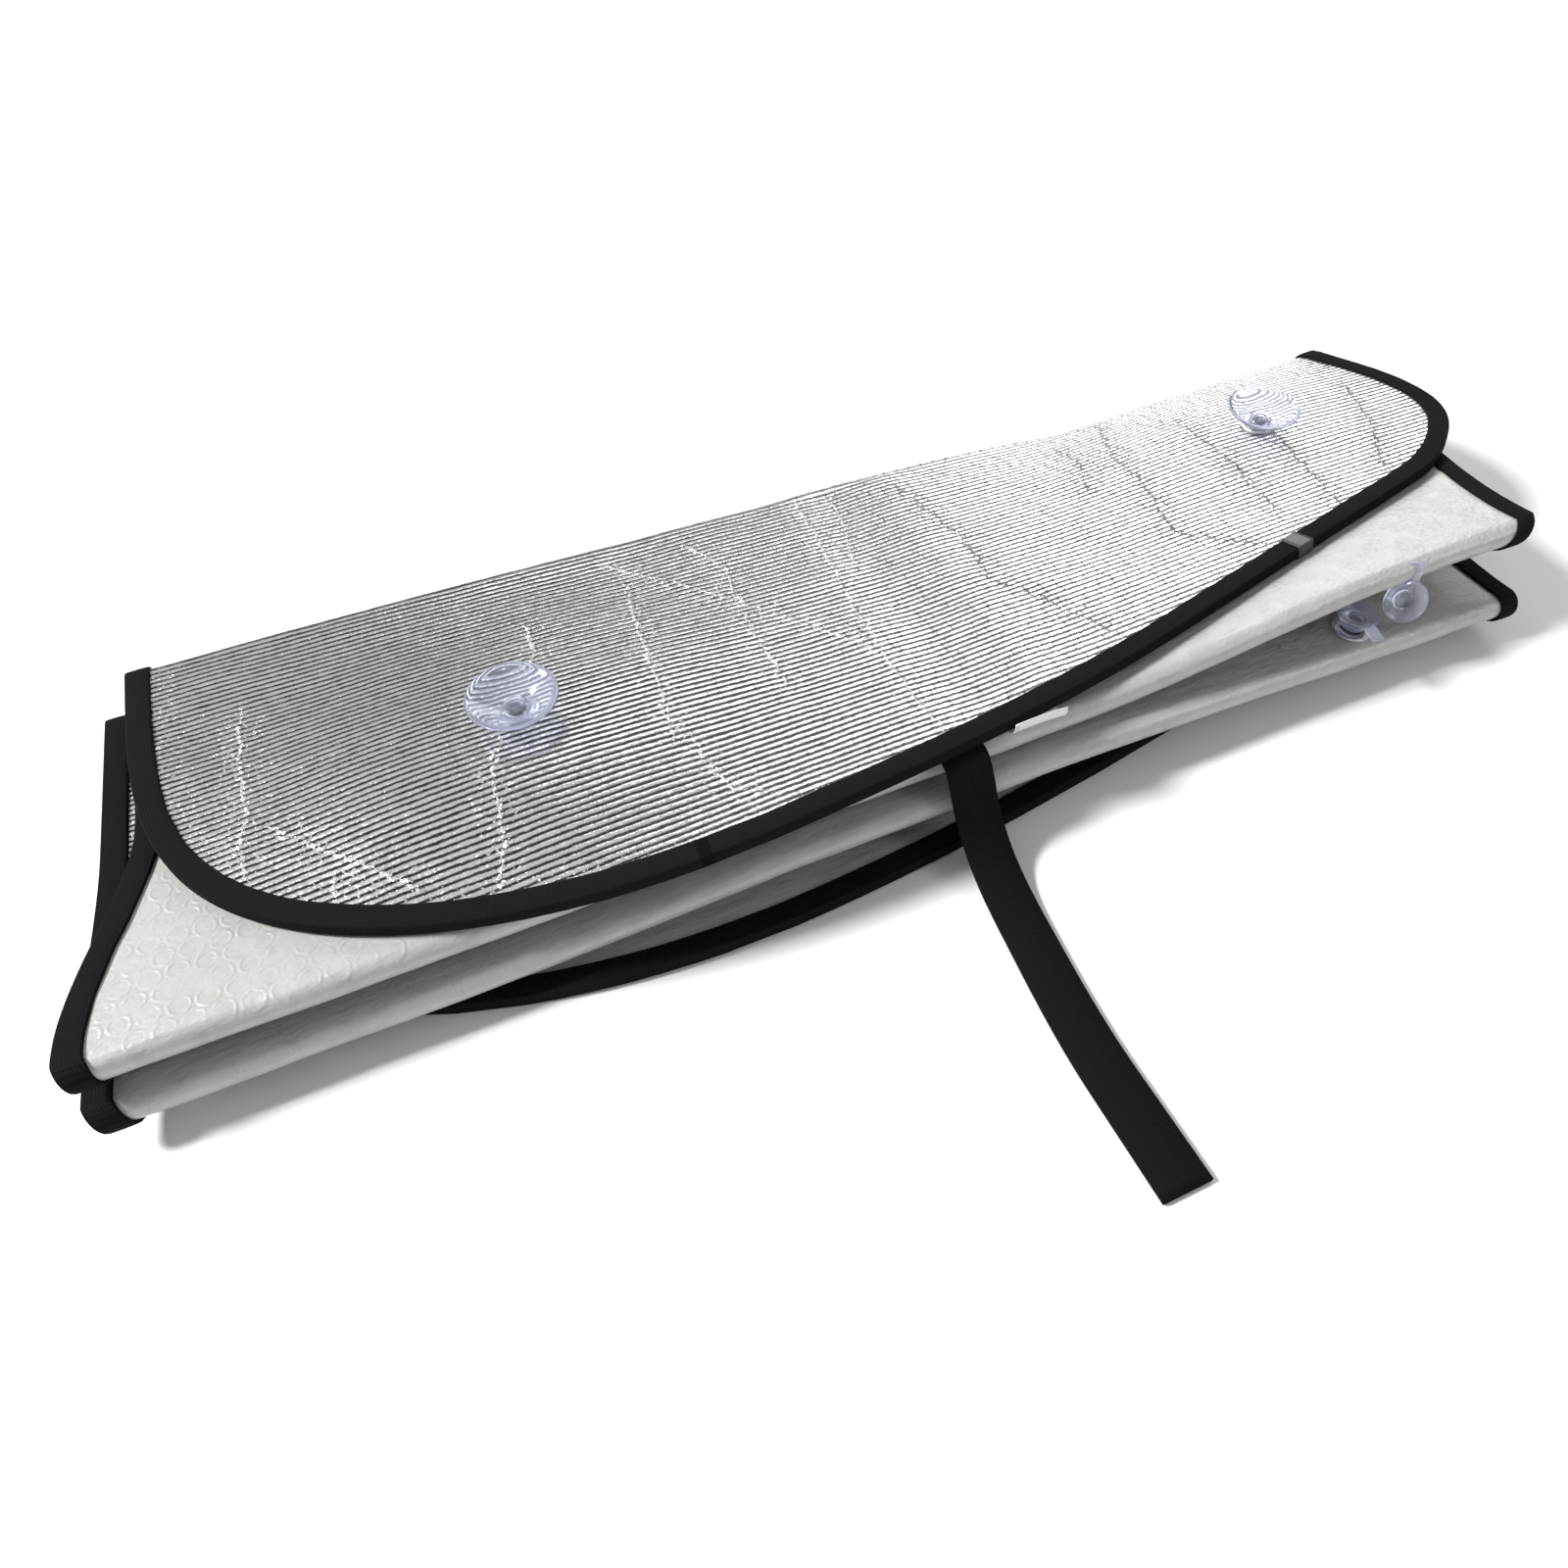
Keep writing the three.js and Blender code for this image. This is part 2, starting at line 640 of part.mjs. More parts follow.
// The six eyelets, each with its panel, its place and the lean in degrees and tab heading of its cup
const noseY = (panel, x) => panelFront(panel, x).y + pinchedFromNose * Math.cos(rampAngle(panel, x));
const backY = (panel, place) => (panel === 0 ? upperFoldBack : lowestFoldBack) - place.fromBack;
const eyelets = [
  { name: 'top_left', panel: 0, x: leftCup.x, y: backY(0, leftCup), lean: cupLean, heading: 200 },
  { name: 'top_right', panel: 0, x: rightCup.x, y: backY(0, rightCup), lean: cupLean, heading: 40 },
  { name: 'inner_upper', panel: 2, x: upperPinchedX, y: noseY(2, upperPinchedX), lean: 0, heading: 0 },
  { name: 'inner_lower', panel: 3, x: lowerPinchedX, y: noseY(3, lowerPinchedX), lean: 0, heading: 10 },
  { name: 'bottom_left', panel: 5, x: leftCup.x, y: backY(5, leftCup), lean: 0, heading: 20 },
  { name: 'bottom_right', panel: 5, x: rightCup.x, y: backY(5, rightCup), lean: 0, heading: 160 },
];

const cutters = [];
for (const eyelet of eyelets) {
  const { point, normal } = panelPoint(eyelet.panel, eyelet.x, eyelet.y);
  const toBack = new THREE.Vector3(0, 1, 0).addScaledVector(normal, -normal.y).normalize();
  const side = new THREE.Vector3().crossVectors(toBack, normal);
  const basis = new THREE.Matrix4().makeBasis(side, toBack, normal);
  const frame = { position: point, quaternion: new THREE.Quaternion().setFromRotationMatrix(basis) };
  addMesh(`eyelet_${eyelet.name}`, eyeletGeometry(), metalMaterial, frame);
  addMesh(`washer_${eyelet.name}`, washerGeometry(), metalMaterial, frame);

  const lean = new THREE.Quaternion().setFromAxisAngle(side, degToRad(eyelet.lean));
  const turn = lean.multiply(frame.quaternion);
  const axis = new THREE.Vector3(0, 0, 1).applyQuaternion(turn);
  const squashed = eyelet.name.startsWith('inner');
  addMesh(`suction_cup_${eyelet.name}`, cupGeometry(eyelet.heading, squashed), cupMaterial, {
    position: point.clone().addScaledVector(axis, seatHeight(eyelet.lean)),
    quaternion: turn,
  });

  const deep = 2 * sheetThickness;
  const cutter = revolve([[0, -deep], [holeRadius, -deep], [holeRadius, deep], [0, deep]], smallSegments);
  cutter.applyQuaternion(frame.quaternion);
  cutter.translate(point.x, point.y, point.z);
  cutters.push(toSolid(cutter));
}

let sheet = toSolid(sheetGeometry());
for (const cutter of cutters) {
  sheet = sheet.subtract(cutter);
}
addMesh('foil_sheet', fromSolid(sheet), foilMaterial);
addMesh('edge_binding', bindingGeometry(), bindingMaterial);
addMesh('elastic_strap', strapGeometry(), strapMaterial);
addMesh('care_label', labelGeometry(), labelMaterial);
addMesh('binding_tape', tapeGeometry(), tapeMaterial);

// Origin at the middle of the footprint, on the surface that the pack rests on
const box = new THREE.Box3().setFromObject(group);
group.position.set(-(box.min.x + box.max.x) / 2, -(box.min.y + box.max.y) / 2, -box.min.z);

export default group;
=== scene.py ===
import bpy
import math
import numpy as np
from mathutils import Matrix, Quaternion, Vector, noise


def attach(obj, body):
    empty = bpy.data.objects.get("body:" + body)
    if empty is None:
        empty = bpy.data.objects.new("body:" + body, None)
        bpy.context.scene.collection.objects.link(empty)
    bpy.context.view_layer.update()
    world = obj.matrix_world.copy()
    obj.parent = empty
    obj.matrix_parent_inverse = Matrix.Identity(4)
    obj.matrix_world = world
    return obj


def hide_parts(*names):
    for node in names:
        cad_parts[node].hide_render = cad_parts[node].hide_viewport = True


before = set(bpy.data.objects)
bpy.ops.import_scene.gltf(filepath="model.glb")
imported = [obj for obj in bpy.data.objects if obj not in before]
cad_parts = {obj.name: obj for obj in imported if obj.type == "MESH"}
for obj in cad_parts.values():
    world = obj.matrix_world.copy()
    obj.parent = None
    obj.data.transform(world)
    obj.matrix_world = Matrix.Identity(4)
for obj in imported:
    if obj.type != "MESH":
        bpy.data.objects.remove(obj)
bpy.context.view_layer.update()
scene = bpy.context.scene
mm = 0.001

# the pack's measures in millimetres, from the left tip of the upper front fold;
# origin is that tip in the frame
pack = {
    "origin": (-379.6135, -15.225, 0.0),
    "length": 761.0,
    "thickness": 3.5,
    "foldHeight": 13.0,
    "flapReach": 243.0,
    "upperUnder": (33, 32, 35, 36.5, 51, 52),
    "lowerUnder": (11.5, 12, 17, 19.5, 15, 11.5),
    "upperBackTop": (60, 60, 56.5, 55, 47, 56),
    "middleBackTop": (37, 36, 35, 33, 30, 32),
    "flapLift": (3.6, 3.6, 7, 6.6, 4, 4),
    "lowerFront": (-6, -7, -8, -9, -10, -12),
    "backY": (230.0, 230.0, 222.0),
    "floorLevel": 3.3,
    "lifted": (62.1, 43.89, 39.59, 35.29, 30.99, 14.05),   # the layers over the cups, top first
    "liftFlat": 38.0,
    "liftRun": 43.0,
    "swell": (1.7, 1.15),   # how far the top panel's swell is drawn out, along and across
    "swellFlat": 14.0,
    "swellEnd": 98.0,
    "rampPlaces": (632.0, 604.0),
    "rampAngles": (-40.0, 9.0),
    "rampLength": 22.2,
    "rampFlat": 12.0,
    "rampRun": 18.0,
    "rampSeat": 11.2,   # how far up its ramp an inner eyelet sits
    "backEnds": ((29, 750), (9, 718), (29, 750)),
    "upperEnds": ((-1, 711), (3, 697)),
    "lowerEnds": ((-1, 703), (5, 700)),
    "sideRun": 120.0,
    "rightRun": 190.0,   # the right end of the upper layers slants in one long line
}
curve = {   # the free edge of the end panels: left part, front part, right corner
    "leftX": 29,
    "leftRun": 236,
    "leftPower": 4,
    "frontX": 265,
    "frontRun": 435,
    "frontDepth": 83,
    "frontPower": 0.64,
    "cornerX": 761,
    "cornerDepth": 81,
    "cornerCut": 61,
    "cornerPower": 2.6,
    "backCut": 11,
    "backFrom": 164,
}
half = pack["thickness"] / 2
foldRadius = (pack["foldHeight"] - pack["thickness"]) / 2


def ease(x, a, b):
    t = np.clip((x - a) / (b - a), 0, 1)
    return t * t * (3 - 2 * t)


def along(values, x):   # smooth curve through six stations along the pack
    v = np.asarray(values, float)
    slopes = np.gradient(v)
    t = np.clip(x / pack["length"], 0, 0.999999) * (len(v) - 1)
    i = t.astype(int)
    f = t - i
    return (v[i] * (2 * f**3 - 3 * f**2 + 1) + slopes[i] * (f**3 - 2 * f**2 + f)
            + v[i + 1] * (3 * f**2 - 2 * f**3) + slopes[i + 1] * (f**3 - f**2))


def foldCentre(index, x):
    side = 1 if index % 2 == 0 else -1
    tall = pack["foldHeight"]
    if index == 0:
        y, under = pack["backY"][0] + 0 * x, along(pack["upperBackTop"], x) - tall + half
    elif index == 1:
        y, under = 0 * x, along(pack["upperUnder"], x) + half
    elif index == 2:
        y, under = pack["backY"][1] + 0 * x, along(pack["middleBackTop"], x) - tall + half
    elif index == 3:
        y, under = along(pack["lowerFront"], x), along(pack["lowerUnder"], x) + half
    else:
        y, under = pack["backY"][2] + 0 * x, pack["floorLevel"] + 0 * x
    return y - side * tall / 2, under + foldRadius


def rampAngle(panel, x):
    if panel not in (2, 3):
        return 0 * x
    away = np.abs(x - pack["rampPlaces"][panel - 2])
    share = 1 - ease(away, pack["rampFlat"], pack["rampFlat"] + pack["rampRun"])
    return math.radians(pack["rampAngles"][panel - 2]) * share


def panelFront(panel, x):
    if panel == 0:
        return 0 * x, along(pack["upperUnder"], x) + pack["foldHeight"] + along(pack["flapLift"], x)
    if panel == 5:
        return 0 * x, pack["floorLevel"] + 0 * x
    y, z = foldCentre(1 if panel < 3 else 3, x)
    above = 1 if panel in (1, 3) else -1
    a = np.abs(rampAngle(panel, x))
    return y - foldRadius * np.sin(a), z + above * foldRadius * np.cos(a)


cupSpots = ((197.0, 129.0), (648.0, 78.0))   # place along the folds and distance from the back fold


def panelHeight(panel, x, y):
    frontY, frontZ = panelFront(panel, x)
    backY, backZ = foldCentre(2 * (panel // 2), x)
    backZ = backZ + (foldRadius if panel % 2 == 0 else -foldRadius)
    run, depth = y - frontY, backY - frontY
    angle = rampAngle(panel, x)
    rampEnd = pack["rampLength"] * np.cos(angle)
    ramp = np.where(run < rampEnd, run, rampEnd * (depth - run) / (depth - rampEnd))
    z = frontZ + (backZ - frontZ) * run / depth + np.tan(angle) * ramp
    for cupX, fromBack in cupSpots:
        cupY = pack["backY"][0 if panel < 4 else 2] - fromBack
        if panel == 0:   # the top panel rises to its cups in a long soft swell
            wide, deep = pack["swell"]
            away = np.hypot((x - cupX) / wide, (y - cupY) / deep)
            share = ease(away, pack["swellFlat"], pack["swellEnd"])
        else:
            away = np.hypot(x - cupX, y - cupY)
            share = ease(away, pack["liftFlat"], pack["liftFlat"] + pack["liftRun"])
        z = pack["lifted"][panel] + (z - pack["lifted"][panel]) * share
    return z


def panelPoint(panel, x, y):   # points of the middle surface, and where the silver face looks
    x, y = np.broadcast_arrays(np.asarray(x, float), np.asarray(y, float))
    h = 0.5
    slopeX = (panelHeight(panel, x + h, y) - panelHeight(panel, x - h, y)) / (2 * h)
    slopeY = (panelHeight(panel, x, y + h) - panelHeight(panel, x, y - h)) / (2 * h)
    normal = np.stack([-slopeX, -slopeY, np.ones_like(slopeX)], -1)
    normal /= np.linalg.norm(normal, axis=-1, keepdims=True)
    if panel % 2 == 1:
        normal = -normal
    return np.stack([x, y, panelHeight(panel, x, y)], -1), normal


def foldPoint(index, share, x):
    x = np.asarray(x, float)
    side = 1 if index % 2 == 0 else -1
    y, z = foldCentre(index, x)
    start = np.abs(rampAngle(index, x))
    end = math.pi - np.abs(rampAngle(index + 1, x))
    angle = start + (end - start) * share
    normal = np.stack([0 * x, side * np.sin(angle), np.cos(angle)], -1)
    point = np.stack([x, y, z], -1) + normal * foldRadius
    return point, normal * side


def flapLeft(t):
    share = np.clip(1 - t / pack["flapReach"], 0, 1)
    return curve["leftX"] + curve["leftRun"] * (1 - np.sqrt(1 - share**curve["leftPower"]))


def flapRight(t):
    depth = curve["frontDepth"]
    front = curve["frontX"] + curve["frontRun"] * np.clip(t / depth, 0, 1)**curve["frontPower"]
    left = np.clip(1 - (t - depth) / curve["cornerDepth"], 0, 1)
    back = (curve["cornerX"] - curve["cornerCut"] * left**curve["cornerPower"]
            - curve["backCut"] * ease(t, curve["backFrom"], pack["flapReach"]))
    return np.where(t < depth, front, back)


def flapEdge(x):   # the front part of the top panel's edge, the other way round
    share = (x - curve["frontX"]) / curve["frontRun"]
    return (pack["backY"][0] - pack["flapReach"]
            + curve["frontDepth"] * share**(1 / curve["frontPower"]))


class Row:   # one line across the sheet, with its ends and a function for its points
    def __init__(self, left, right, at, panel=None, fromTip=None):
        self.left, self.right, self.at = float(left), float(right), at
        self.panel, self.fromTip = panel, fromTip


def flapRow(panel, t):
    tip = pack["backY"][0 if panel == 0 else 2] - pack["flapReach"]
    return Row(flapLeft(t), flapRight(t),
               lambda x, dy=0.0: panelPoint(panel, x, tip + t + dy), panel, t)


def panelRow(panel, run):
    ends = pack["upperEnds" if panel < 3 else "lowerEnds"][0 if panel % 2 == 1 else 1]
    back = pack["backEnds"][panel // 2]
    leftShare = ease(run, 0, pack["sideRun"])
    rightShare = ease(run, 0, pack["rightRun" if panel < 3 else "sideRun"])

    def at(x, dy=0.0):
        return panelPoint(panel, x, panelFront(panel, np.asarray(x, float))[0] + run + dy)
    return Row(ends[0] + (back[0] - ends[0]) * leftShare,
               ends[1] + (back[1] - ends[1]) * rightShare, at, panel)


def foldRows(index, segments):
    rows = []
    for i in range(segments + 1):
        share = i / segments
        if index % 2 == 1:
            (l0, r0), (l1, r1) = pack["upperEnds" if index == 1 else "lowerEnds"]
            left, right = l0 + (l1 - l0) * share, r0 + (r1 - r0) * share
        else:
            left, right = pack["backEnds"][index // 2]
        rows.append(Row(left, right, lambda x, dy=0.0, s=share: foldPoint(index, s, x)))
    return rows


grid = {   # rows across the sheet, in millimetres from the tip or the fold, and its columns
    "topStep": 3.1,
    "lowStep": 9.0,
    "nearTip": (0.4, 1.2, 2.4, 4.2, 6.6, 9.6),
    "firstStep": 13,
    "lastGap": 8,
    "frontRuns": (4, 60, 4.2),
    "backRuns": (64, 216, 11.5),
    "foldSegments": 10,
    "columns": 142,
    "measured": 70,   # the column whose length counts for the opened sheet
    "holeRadius": 7.6,
}


def sheetRows():
    def steps(step):
        end = pack["flapReach"] - grid["lastGap"]
        return list(grid["nearTip"]) + list(np.arange(grid["firstStep"], end, step))
    rows = [flapRow(0, t) for t in steps(grid["topStep"])]
    runs = list(np.arange(*grid["frontRuns"])) + list(np.arange(*grid["backRuns"]))
    for panel in range(1, 5):
        rows += foldRows(panel - 1, grid["foldSegments"])
        part = [panelRow(panel, r) for r in runs]
        rows += part[::-1] if panel % 2 == 1 else part
    rows += foldRows(4, grid["foldSegments"])
    rows += [flapRow(5, t) for t in steps(grid["lowStep"])][::-1]
    return rows


def toFrame(points):
    return (np.asarray(points, float) + np.array(pack["origin"])) * mm


def meshPiece(name, points, faces, uv=None, slots=None, attributes=None):
    mesh = bpy.data.meshes.new(name)
    mesh.from_pydata(toFrame(points).tolist(), [], faces)
    if uv is not None:
        layer = mesh.uv_layers.new(name="flat")
        index = np.zeros(len(mesh.loops), int)
        mesh.loops.foreach_get("vertex_index", index)
        layer.data.foreach_set("uv", (np.asarray(uv)[index] * mm).ravel())
    for key, values in (attributes or {}).items():
        data = mesh.attributes.new(key, "FLOAT", "POINT").data
        data.foreach_set("value", np.asarray(values, float).ravel())
    if slots is not None:
        mesh.polygons.foreach_set("material_index", slots)
    mesh.polygons.foreach_set("use_smooth", [True] * len(mesh.polygons))
    mesh.update()
    piece = bpy.data.objects.new(name, mesh)
    scene.collection.objects.link(piece)
    return piece


class Field:   # a shader value that can be reckoned with
    def __init__(self, tree, socket):
        self.tree, self.socket = tree, socket

    def math(self, operation, *values):
        node = self.tree.nodes.new("ShaderNodeMath")
        node.operation = operation
        for i, value in enumerate((self,) + values):
            if isinstance(value, Field):
                self.tree.links.new(value.socket, node.inputs[i])
            else:
                node.inputs[i].default_value = value
        return Field(self.tree, node.outputs[0])

    def __add__(self, other): return self.math("ADD", other)
    def __radd__(self, other): return self.math("ADD", other)
    def __sub__(self, other): return self.math("SUBTRACT", other)
    def __rsub__(self, other): return (self * -1).math("ADD", other)
    def __mul__(self, other): return self.math("MULTIPLY", other)
    def __truediv__(self, other): return self.math("DIVIDE", other)
    def __pow__(self, other): return self.math("POWER", other)
    def __abs__(self): return self.math("ABSOLUTE")
    def fract(self): return self.math("FRACT")
    def floor(self): return self.math("FLOOR")
    def least(self, other): return self.math("MINIMUM", other)


class Paint:   # a material with its Principled shader
    def __init__(self, name, **constants):
        self.material = bpy.data.materials.new(name)
        self.material.use_nodes = True
        self.tree = self.material.node_tree
        self.shader = self.tree.nodes["Principled BSDF"]
        for key, value in constants.items():
            self.shader.inputs[key.replace("_", " ")].default_value = value

    def add(self, kind, settings=None, inputs=None, output=0):
        node = self.tree.nodes.new("ShaderNode" + kind)
        for key, value in (settings or {}).items():
            setattr(node, key, value)
        for key, value in (inputs or {}).items():
            if isinstance(value, Field):
                self.tree.links.new(value.socket, node.inputs[key])
            else:
                node.inputs[key].default_value = value
        return Field(self.tree, node.outputs[output])

    def feed(self, **links):
        for key, value in links.items():
            self.tree.links.new(value.socket, self.shader.inputs[key.replace("_", " ")])

    def flat(self):   # millimetres along and across the opened piece
        uv = self.add("UVMap", {"uv_map": "flat"})
        split = self.tree.nodes.new("ShaderNodeSeparateXYZ")
        self.tree.links.new(uv.socket, split.inputs[0])
        return Field(self.tree, split.outputs[0]) * 1000, Field(self.tree, split.outputs[1]) * 1000

    def vector(self, x, y, z=0.0):
        return self.add("CombineXYZ", None, {0: x, 1: y, 2: z})

    def noise(self, x, y, scale=1.0, detail=2.0, z=0.0):
        return self.add("TexNoise", {"noise_dimensions": "3D"},
                        {"Vector": self.vector(x, y, z), "Scale": scale, "Detail": detail})

    def objectNoise(self, scale, detail=2.0):
        place = self.add("TexCoord", None, None, 3)
        return self.add("TexNoise", {"noise_dimensions": "3D"},
                        {"Vector": place, "Scale": scale, "Detail": detail})

    def ramp(self, value, low, high, a=0.0, b=1.0):
        return self.add("MapRange", {"interpolation_type": "SMOOTHSTEP"},
                        {0: value, 1: low, 2: high, 3: a, 4: b})

    def mix(self, factor, a, b, blend="MIX"):
        node = self.tree.nodes.new("ShaderNodeMix")
        node.data_type, node.blend_type = "RGBA", blend
        for index, value in ((0, factor), (6, a), (7, b)):
            if isinstance(value, Field):
                self.tree.links.new(value.socket, node.inputs[index])
            else:
                node.inputs[index].default_value = value if index == 0 else (*value, 1.0)
        return Field(self.tree, node.outputs[2])

    def bump(self, height, distance, strength=1.0, normal=None):
        inputs = {"Height": height, "Distance": distance * mm, "Strength": strength}
        if normal is not None:
            inputs["Normal"] = normal
        return self.add("Bump", None, inputs)

    def attribute(self, name):
        return self.add("Attribute", {"attribute_name": name}, None, 2)


def silverPaint():
    look = {
        "pitch": 3.6,
        "depth": 0.6,
        "bright": (0.9, 0.9, 0.89),
        "grooveShade": (0.035, 0.035, 0.033),
        "paintedGlint": (0.97, 0.97, 0.97),
        "creaseShadeGrey": (0.24, 0.24, 0.24),
        "creaseShadeDark": (0.12, 0.12, 0.12),
        "shardDepth": 1.6,
    }
    p = Paint("silverFoil", Metallic=0.92, Roughness=0.24)
    u, v = p.flat()
    drift = p.noise(u * 0.02, v * 0.03, 1.0, 2.0)
    jitter = p.noise(u * 0.3, v * 0.3, 1.0, 2.0)
    line = v / look["pitch"] + drift * 0.5 + jitter * 0.22
    number = line.floor()
    edge = abs(line.fract() * 2 - 1)   # 0 on the crest of a rib and 1 in the groove
    width = p.noise(u * 0.25, number * 0.37, 1.0, 2.0, number * 1.7)
    # painted shade in the grooves between ribs, deeper on the left
    grooveShade = p.ramp(edge + (width - 0.5) * 0.45, 0.38, 0.8)
    grooveShade = grooveShade * p.ramp(u, 190.0, 500.0, 0.95, 0.5)
    # breaks between the bubbles of one rib, bumped in and painted darker with the groove shade,
    # more on the right
    cross = abs((u * 0.125 + p.noise(number * 3.1, 0.0, 1.0, 0.0) * 9).fract() * 2 - 1)
    breaks = p.ramp(cross + (width - 0.5) * 0.5, 0.86, 0.98)
    breaks = breaks * p.ramp(u, 230.0, 420.0, 0.12, 0.8)
    side = p.attribute("creaseSide")
    on = p.attribute("creaseOn")
    jag = ((p.noise(number * 0.9, 0.0, 1.0, 0.0) - 0.5) * 7
           + (p.noise(u * 0.5, v * 0.5) - 0.5) * 4)
    broken = p.ramp(p.noise(u * 0.7, v * 0.55, 1.0, 1.0),
                    p.ramp(u, 330.0, 480.0, 0.39, 0.42), 0.54)
    crease = (1 - p.ramp(abs(side + jag), 0.1, 1.0)) * on * broken
    hem = 1 - p.ramp(p.attribute("edgeDist"), 10.0, 19.0)   # puckers beside the binding, which get painted glints on the left
    # scattered crushed spots, bumped, and painted as glints on the left
    scatter = (p.ramp(p.noise(u * 0.5, v * 0.7, 1.0, 1.0), 0.62, 0.7)
               * p.ramp(on + hem * 1.2, 0.1, 1.0, 0.03, 0.75))
    crush = (crease + scatter).least(1.0)
    glintSide = 1 - p.ramp(u, 370.0, 450.0)   # painted glints on the left; towards the right the creases are painted as thin grey shade lines instead
    height = (1 - edge**3) * 0.8 + p.noise(u * 0.4, v * 0.5, 1.0, 2.0) * 0.4 - breaks * 0.35
    ribs = p.bump(height, look["depth"])
    shards = p.add("TexVoronoi", {"feature": "F1"},
                   {"Vector": p.vector(u * 0.4, v * 0.4), "Scale": 1.0})
    normal = p.bump(shards * crush, look["shardDepth"], 1.0, ribs)
    # painted shade: the grooves and the breaks between bubbles take the dark groove colour
    tone = p.mix((grooveShade + breaks * 0.5).least(1.0), look["bright"], look["grooveShade"])
    # painted highlight: crushed spots and puckers on the left are painted near white
    tone = p.mix(crush * glintSide * 0.9, tone, look["paintedGlint"])
    # painted shade: on the right the creases are grey lines
    tone = p.mix(crease * (1 - glintSide) * 0.7, tone, look["creaseShadeGrey"])
    # painted shade: the far side of a crease is darkened, and crazed patches on the right too
    shadow = (1 - p.ramp(abs(side + jag - 1.5), 0.1, 0.7)) * on * broken
    crazeShade = p.ramp(p.noise(u * 0.55, v * 0.75, 1.0, 1.0, 4.0), 0.52, 0.6) * on * (1 - glintSide)
    # painted shade on the far sides of creases and in crazed patches
    tone = p.mix((shadow * 0.5 + crazeShade * 0.55).least(0.8), tone, look["creaseShadeDark"])
    # the painted glints also lose most of their metal, so they read as white
    p.feed(Base_Color=tone, Normal=normal, Roughness=0.2 + p.noise(u * 0.1, v * 0.1) * 0.1,
           Metallic=0.92 - crush * glintSide * 0.75)
    return p.material


def whitePaint():
    look = {
        "pitch": 10.6,   # of the bubbles along a row
        "rowPitch": 10.6 * 1.732,
        "radius": 4.2,
        "film": (0.39, 0.385, 0.37),
        "shade": (0.325, 0.318, 0.303),
    }
    p = Paint("pearlFilm", Roughness=0.36, Coat_Weight=0.2, Coat_Roughness=0.2)
    u, v = p.flat()
    wander = (p.noise(u * 0.05, v * 0.05) - 0.5) * 3
    a = (u + wander) / look["pitch"]
    b = (v + wander) / look["rowPitch"]

    def apart(shift):   # distance from the nearest bubble of one of the two sets
        dx = ((a + shift).fract() - 0.5) * look["pitch"]
        dy = ((b + shift).fract() - 0.5) * look["rowPitch"]
        return (dx * dx + dy * dy)**0.5
    d = apart(0.0).least(apart(0.5))
    ring = 1 - p.ramp(abs(d - look["radius"]), 0.0, 1.1)
    worn = p.noise(u * 0.09, v * 0.09, 1.0, 3.0)
    shown = p.ramp(worn, 0.38, 0.62, 0.05, 1.0) * p.ramp(u, 90.0, 240.0, 0.22, 0.1)
    wrinkle = p.noise(u * 0.04, v * 0.14, 1.0, 4.0)
    fine = p.noise(u * 0.3, v * 0.4, 1.0, 3.0)
    height = ring * shown + wrinkle * 2.2 + fine * p.ramp(u, 380.0, 620.0, 0.4, 1.1)
    p.feed(Normal=p.bump(height, 0.8, 0.8),
           Base_Color=p.mix(p.ramp(worn, 0.3, 0.75, 0.0, 0.5), look["film"], look["shade"]),
           Roughness=0.28 + worn * 0.2)
    return p.material


def wovenPaint(name, colour, rib, cross, depth):
    p = Paint(name, Roughness=0.85, Specular_IOR_Level=0.05)
    u, v = p.flat()
    ribs = abs((u / rib + p.noise(u * 0.2, v * 0.2) * 0.3).fract() * 2 - 1)
    rows = abs((v / cross).fract() * 2 - 1)
    weave = (1 - ribs**2) * 0.7 + (1 - rows**2) * 0.45
    fluff = p.noise(u * 0.9, v * 0.9, 1.0, 4.0)
    # painted highlight: the raised threads are mixed towards a lighter colour; fluff varies it at
    # random
    light = tuple(c * 2.2 + 0.002 for c in colour)
    p.feed(Base_Color=p.mix((weave * 0.55 + fluff * 0.35).least(1.0), colour, light),
           Normal=p.bump(weave + fluff * 0.5, depth), Roughness=0.74 + fluff * 0.2)
    return p.material


def clearPaint(name, colour, transmission, roughness):
    p = Paint(name, Transmission_Weight=transmission, IOR=1.38, Base_Color=(*colour, 1.0),
              Roughness=roughness)
    cloud = p.objectNoise(160.0, 2.0)
    p.feed(Roughness=roughness + cloud * 0.04, Normal=p.bump(cloud, 0.04, 0.4),
           Base_Color=p.mix(cloud * 0.3, colour, tuple(c * 0.93 for c in colour)))
    return p.material


def metalPaint():
    p = Paint("nickel", Metallic=1.0, Roughness=0.2)
    cloud = p.objectNoise(260.0, 3.0)
    p.feed(Base_Color=p.mix(cloud * 0.5, (0.92, 0.92, 0.93), (0.74, 0.74, 0.75)),
           Roughness=0.14 + cloud * 0.16)
    return p.material


def plainPaint(name, colour, light, roughness, scale):
    p = Paint(name, Roughness=roughness)
    cloud = p.objectNoise(scale, 3.0)
    p.feed(Base_Color=p.mix(cloud, colour, light), Normal=p.bump(cloud, 0.05, 0.5),
           Roughness=roughness - 0.08 + cloud * 0.16)
    return p.material


def noseY(panel, x):   # where an eyelet sits on the ramp behind a front fold
    x = np.array(x, float)
    return float(panelFront(panel, x)[0] + pack["rampSeat"] * np.cos(rampAngle(panel, x)))


